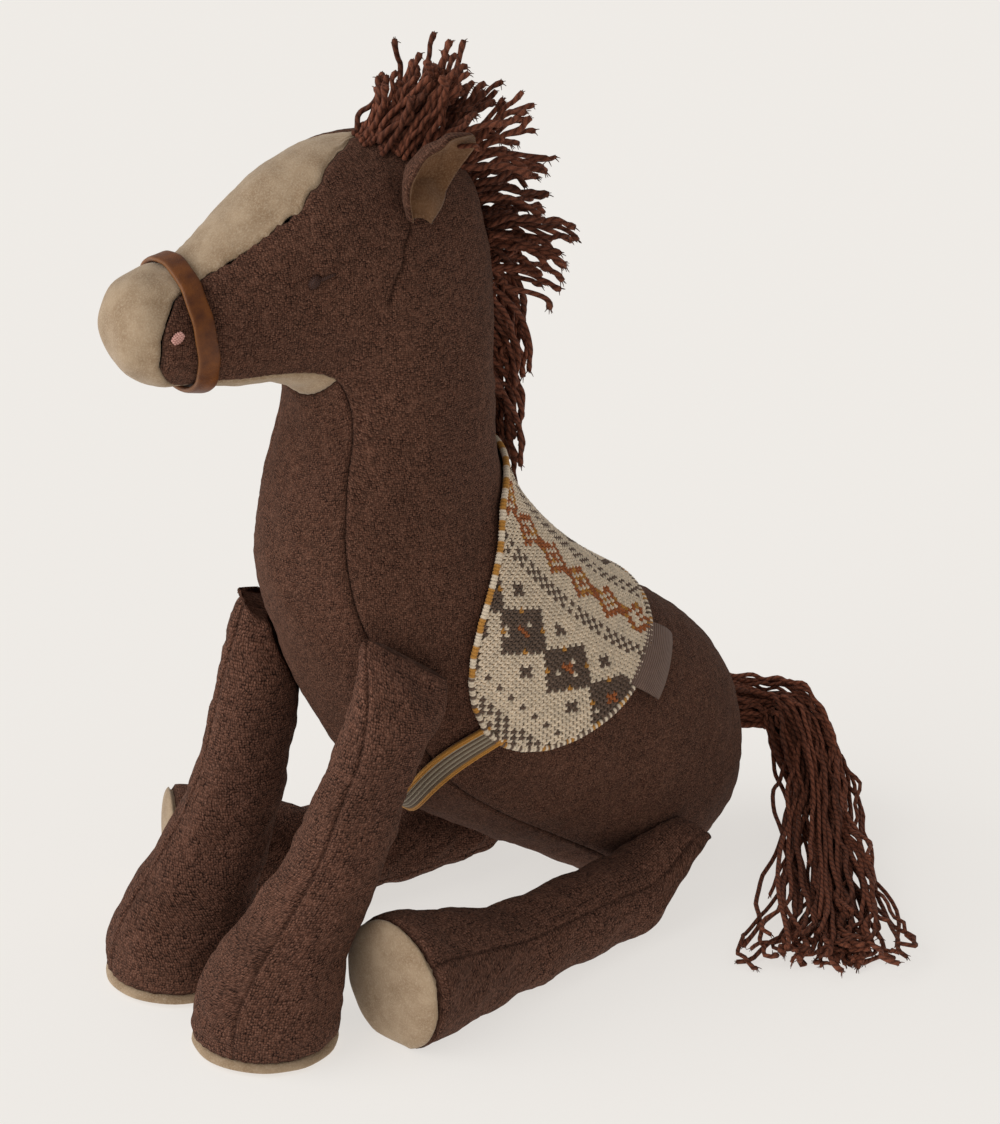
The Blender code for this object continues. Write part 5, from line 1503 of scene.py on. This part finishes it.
def hind_leg_rings(side, sign, place, turn):
    """Upright ellipses from the hip to the foot, dropping to the floor over the first part."""
    row = along_table(HIND_ROWS, place)
    share, wide, high = (row[..., k, None] for k in range(3))
    root = np.array([sign * HIND_ROOT_OUT, -HIND_ROOT_AHEAD])
    foot = np.array([sign * HIND_FOOT_OUT[side], -HIND_FOOT_AHEAD])
    inward = np.array([-sign * HIND_LEG_BOW[side], 0.0])
    settle = np.clip(share / HIND_DROP_SHARE, 0.0, 1.0)
    settle = smooth_share(settle)
    middle = HIND_ROOT_HEIGHT + (high - FLOOR_CUT - HIND_ROOT_HEIGHT) * settle
    line = root + (foot - root) * share + inward * np.sin(math.pi * share)
    ahead = unit(foot - root + inward * math.pi * np.cos(math.pi * share))
    aside = np.stack([-ahead[..., 1], ahead[..., 0]], axis=-1)
    flat = line[..., None, :] + aside[..., None, :] * (wide * np.cos(turn))[..., None]
    up = middle + high * np.sin(turn)
    return to_floor(np.concatenate([flat, up[..., None]], axis=-1))


def leg_columns(count, seam):
    """Angles round a leg, closer together at the seam and opposite to it."""
    t = np.arange(count) / count
    return seam + 2 * math.pi * t - 0.36 * np.sin(4 * math.pi * t)


def ring_normals(rings):
    """Outward normals of a tube of rings, from its directions round and along."""
    around = np.roll(rings, -1, axis=1) - np.roll(rings, 1, axis=1)
    along = np.gradient(rings, axis=0)
    normal = unit(np.cross(around, along))
    middle = rings.mean(axis=1, keepdims=True)
    flip = np.sign(((rings - middle) * normal).sum(axis=-1).mean())
    return normal * flip


def closed_tube(rings, uv_step):
    """Rings closed by a fan at each end: points, quads, triangles and corner UVs."""
    rows, columns = rings.shape[:2]
    row, column = grid_cells(rows, columns, wrap=True)
    quads = row * columns + column % columns
    ends = np.stack([rings[0].mean(axis=0), rings[-1].mean(axis=0)])
    points = np.concatenate([rings.reshape(-1, 3), ends])
    here = np.arange(columns)
    after = (here + 1) % columns
    count = rows * columns
    first = np.stack([after, here, np.full(columns, count)], axis=-1)
    last = (rows - 1) * columns
    second = np.stack([last + here, last + after, np.full(columns, count + 1)], axis=-1)
    round_rings = np.concatenate([rings, rings[:, :1]], axis=1)
    across = arc_lengths(round_rings, 1) / MM
    along = arc_lengths(round_rings, 0).mean(axis=1)[:, None] / MM + 0.0 * across
    uv = np.stack([across, along], axis=-1)[row, column] * uv_step
    return points, quads, np.concatenate([first, second]), uv


def make_leg(kind, side, sign):
    """A stuffed leg: the ring surface with two lengthwise seams, puckers, lumps and a sole."""
    name = f"{kind}_leg_{side}"
    rows = int((118.0 if kind == "front" else 132.0) * MM / (0.85 * MESH_STEP))
    columns = 2 * int(46.0 * MM / MESH_STEP) + 16
    last_row = len(FRONT_ROWS if kind == "front" else HIND_ROWS) - 1.0
    place = np.linspace(0.0, last_row, rows)
    rings_of = front_leg_rings if kind == "front" else hind_leg_rings
    length = arc_lengths(rings_of(side, sign, place, np.zeros(1)), 0)[:, 0]
    place = np.interp(np.linspace(0.0, length[-1], rows), length, place)
    seam = math.radians(LEG_SEAM_DEG[name])
    rings = rings_of(side, sign, place, leg_columns(columns, seam))
    if kind == "front":
        hinge = np.array([sign * FRONT_ROOT_OUT[side], -FRONT_ROOT_AHEAD, FRONT_ROOT_HEIGHT])
        swings = FRONT_SWING_DEG
    else:
        hinge = np.array([sign * HIND_ROOT_OUT, -HIND_ROOT_AHEAD, HIND_ROOT_HEIGHT])
        swings = HIND_SWING_DEG
    rings = clear_of_body(rings, PRESS_GAP, hinge, (*swings, 0.0))
    if kind == "hind":
        rings = to_floor(rings)
    normal = ring_normals(rings)
    along = arc_lengths(rings, 0)
    round_rings = np.concatenate([rings, rings[:, :1]], axis=1)
    across = arc_lengths(round_rings, 1)
    total = across[:, -1:]
    across = across[:, :-1]
    seam_two = across[:, columns // 2][:, None]
    from_seam = np.minimum(np.minimum(across, total - across), np.abs(across - seam_two))
    from_end = along[-1:] - along
    sag = np.clip(1.0 - along / (34.0 * MM), 0.0, 1.0)
    out = 0.55 * MM * lumps(rings, 15.0 * MM, len(name)) + 0.22 * MM * lumps(rings, 5.5 * MM, 77)
    out = out + 0.45 * MM * sag * lumps(rings * np.array([1.0, 1.0, 0.4]), 6.0 * MM, 78)
    calm = np.clip(from_seam / (2.5 * MM), 0.0, 1.0) * np.clip(from_end / (3.0 * MM), 0.0, 1.0)
    calm = calm * np.clip(along / (4.0 * MM), 0.0, 1.0)
    out = out * calm
    groove = 0.62 * np.exp(-((from_seam / (0.6 * MM)) ** 2))
    out = out - MM * groove
    ripple = 1.4 * PUCKER_HEIGHT * np.exp(-from_seam / (2.4 * MM))
    out = out + ripple * np.cos(2 * math.pi * along / PUCKER_PITCH)
    ripple = 2.0 * PUCKER_HEIGHT * np.exp(-from_end / (2.6 * MM))
    out = out + ripple * np.cos(2 * math.pi * across / (3.1 * MM))
    turned_in = np.clip(1.0 - from_end / (1.5 * MM), 0.0, 1.0)
    out = out - 1.3 * MM * turned_in**2
    surface = rings + normal * out[..., None]
    # Painted shade along the seams and at the turned-in foot end
    crease_shade = np.exp(-((from_seam / (0.36 * MM)) ** 2)) * (along > 6.0 * MM)
    crease_shade = np.maximum(crease_shade, np.exp(-((from_end / (0.6 * MM)) ** 2)))
    surface = to_floor(surface, 0.0 if kind == "hind" else FRONT_SOLE_THICKNESS)
    points, quads, triangles, uv = closed_tube(surface, 1.0)
    tones = {"crease_shade": np.concatenate([crease_shade.ravel(), [0.0, 0.0]])}
    piece = build(f"{name}_cloth", TWEED, points, quads, uv, triangles, tones)
    nodes = [f"{name}_skin", f"{name}_filling"]
    place_piece(piece, name, nodes)
    if kind == "front":
        make_front_sole(name, rings[-1])
    else:
        make_hind_sole(name, rings[-1], rings[-4])


def make_front_sole(name, edge):
    """A velour pad under the foot: its profile bulges out below the seam and lies on the floor."""
    middle = edge.mean(axis=0)
    bow = np.linspace(0.0, math.pi / 2, 9)
    profile = [(0.93, 1.12)]
    profile += [(0.955 + 0.06 * math.sin(2 * b), 1.05 - 0.75 * math.sin(b)) for b in bow]
    profile += [(0.90, 0.06), (0.84, 0.0), (0.6, 0.0), (0.3, 0.0)]
    rings = []
    for size_share, height_share in profile:
        ring = middle + (edge - middle) * size_share
        ring[:, 2] = FRONT_SOLE_THICKNESS * height_share
        rings.append(ring)
    finish_sole(name, np.array(rings), (edge - middle))


def make_hind_sole(name, edge, before):
    """A velour disc on the foot's end: a low dome that looks forward."""
    middle = edge.mean(axis=0)
    forward = middle - before.mean(axis=0)
    forward[2] = 0.0
    forward = unit(forward)
    rings = []
    for lean in np.linspace(-0.35, math.pi / 2 - 0.06, 13):
        size_share = 0.985 * math.cos(max(lean, 0.0)) ** 0.55 - 0.05 * (lean < 0.0)
        dome = HIND_SOLE_THICKNESS * 1.7 * math.sin(lean)
        rings.append(middle + (edge - middle) * size_share + forward * (PIECE_GAP + dome))
    finish_sole(name, np.array(rings), (edge - middle))


def finish_sole(name, rings, rays):
    """Close a sole's rings, with a little unevenness, and put it on its leg."""
    uneven = 0.18 * MM * lumps(rings, 8.0 * MM, 91)
    rings = rings + unit(rays)[None] * uneven[..., None]
    rings = to_floor(rings)
    points, quads, triangles, uv = closed_tube(rings, 1.0)
    # Painted shade on the sole's first ring, where it tucks under the leg
    crease_shade = np.zeros(len(points))
    crease_shade[: rings.shape[1]] = 0.8
    piece = build(f"{name}_pad", VELOUR, points, quads, uv, triangles, {"crease_shade": crease_shade})
    place_piece(piece, name, [f"{name}_sole"])


def make_floor_and_light():
    """A wide pale floor that glows a little, soft light from ahead and above, and an even sky."""
    half = 4.0
    mesh = bpy.data.meshes.new("floor")
    corners = [(-half, -half, 0.0), (half, -half, 0.0), (half, half, 0.0), (-half, half, 0.0)]
    mesh.from_pydata(corners, [], [(0, 1, 2, 3)])
    floor = bpy.data.objects.new("floor", mesh)
    bpy.context.scene.collection.objects.link(floor)
    paint = bpy.data.materials.new("pale_floor")
    paint.use_nodes = True
    shader = paint.node_tree.nodes["Principled BSDF"]
    shader.inputs["Base Color"].default_value = (0.300, 0.290, 0.277, 1.0)
    shader.inputs["Emission Color"].default_value = (1.0, 0.966, 0.922, 1.0)
    shader.inputs["Emission Strength"].default_value = 0.655
    shader.inputs["Roughness"].default_value = 1.0
    shader.inputs["Specular IOR Level"].default_value = 0.0
    mesh.materials.append(paint)

    world = bpy.data.worlds.new("studio")
    world.use_nodes = True
    world.node_tree.nodes["Background"].inputs[0].default_value = (1.0, 0.995, 0.985, 1.0)
    world.node_tree.nodes["Background"].inputs[1].default_value = 0.40
    bpy.context.scene.world = world
    lamp = bpy.data.lights.new("softbox", "SUN")
    lamp.energy = 2.1
    lamp.angle = math.radians(75.0)
    light = bpy.data.objects.new("softbox", lamp)
    toward = unit(np.array([-0.34, -0.85, 0.43]))
    side = unit(np.cross([0.0, 0.0, 1.0], toward))
    axes = np.stack([side, np.cross(toward, side), toward], axis=1)
    light.matrix_world = Matrix(axes.tolist()).to_4x4()
    bpy.context.scene.collection.objects.link(light)


# Camera: where it looks, from which side and how far away, and the picture's scale there
CAMERA_TARGET = np.array([-42.0, -7.7, 84.3]) * MM
CAMERA_SIDE_DEG = 50.0
CAMERA_RISE_DEG = 22.5
CAMERA_DISTANCE = 1045.0 * MM
PIXELS_PER_METRE = 3333.0
PICTURE_HEIGHT = 1124.0
SENSOR = 36.0


def make_camera():
    side, rise = math.radians(CAMERA_SIDE_DEG), math.radians(CAMERA_RISE_DEG)
    right = np.array([math.cos(side), math.sin(side), 0.0])
    back = np.array(
        [math.sin(side) * math.cos(rise), -math.cos(side) * math.cos(rise), math.sin(rise)]
    )
    axes = np.stack([right, np.cross(back, right), back], axis=1)
    data = bpy.data.cameras.new("camera")
    data.sensor_width = SENSOR
    data.lens = CAMERA_DISTANCE * PIXELS_PER_METRE / PICTURE_HEIGHT * SENSOR
    data.clip_end = 20.0
    camera = bpy.data.objects.new("camera", data)
    matrix = Matrix(axes.tolist()).to_4x4()
    matrix.translation = CAMERA_TARGET + back * CAMERA_DISTANCE
    camera.matrix_world = matrix
    bpy.context.scene.collection.objects.link(camera)
    bpy.context.scene.camera = camera


make_camera()
make_floor_and_light()
make_body()
make_noseband()
make_face_stitches()
make_ears()
make_forelock()
make_mane()
make_tail()
make_blanket()
for side_name, side_sign in SIDES.items():
    make_leg("front", side_name, side_sign)
    make_leg("hind", side_name, side_sign)

bpy.context.scene.view_settings.view_transform = "Standard"
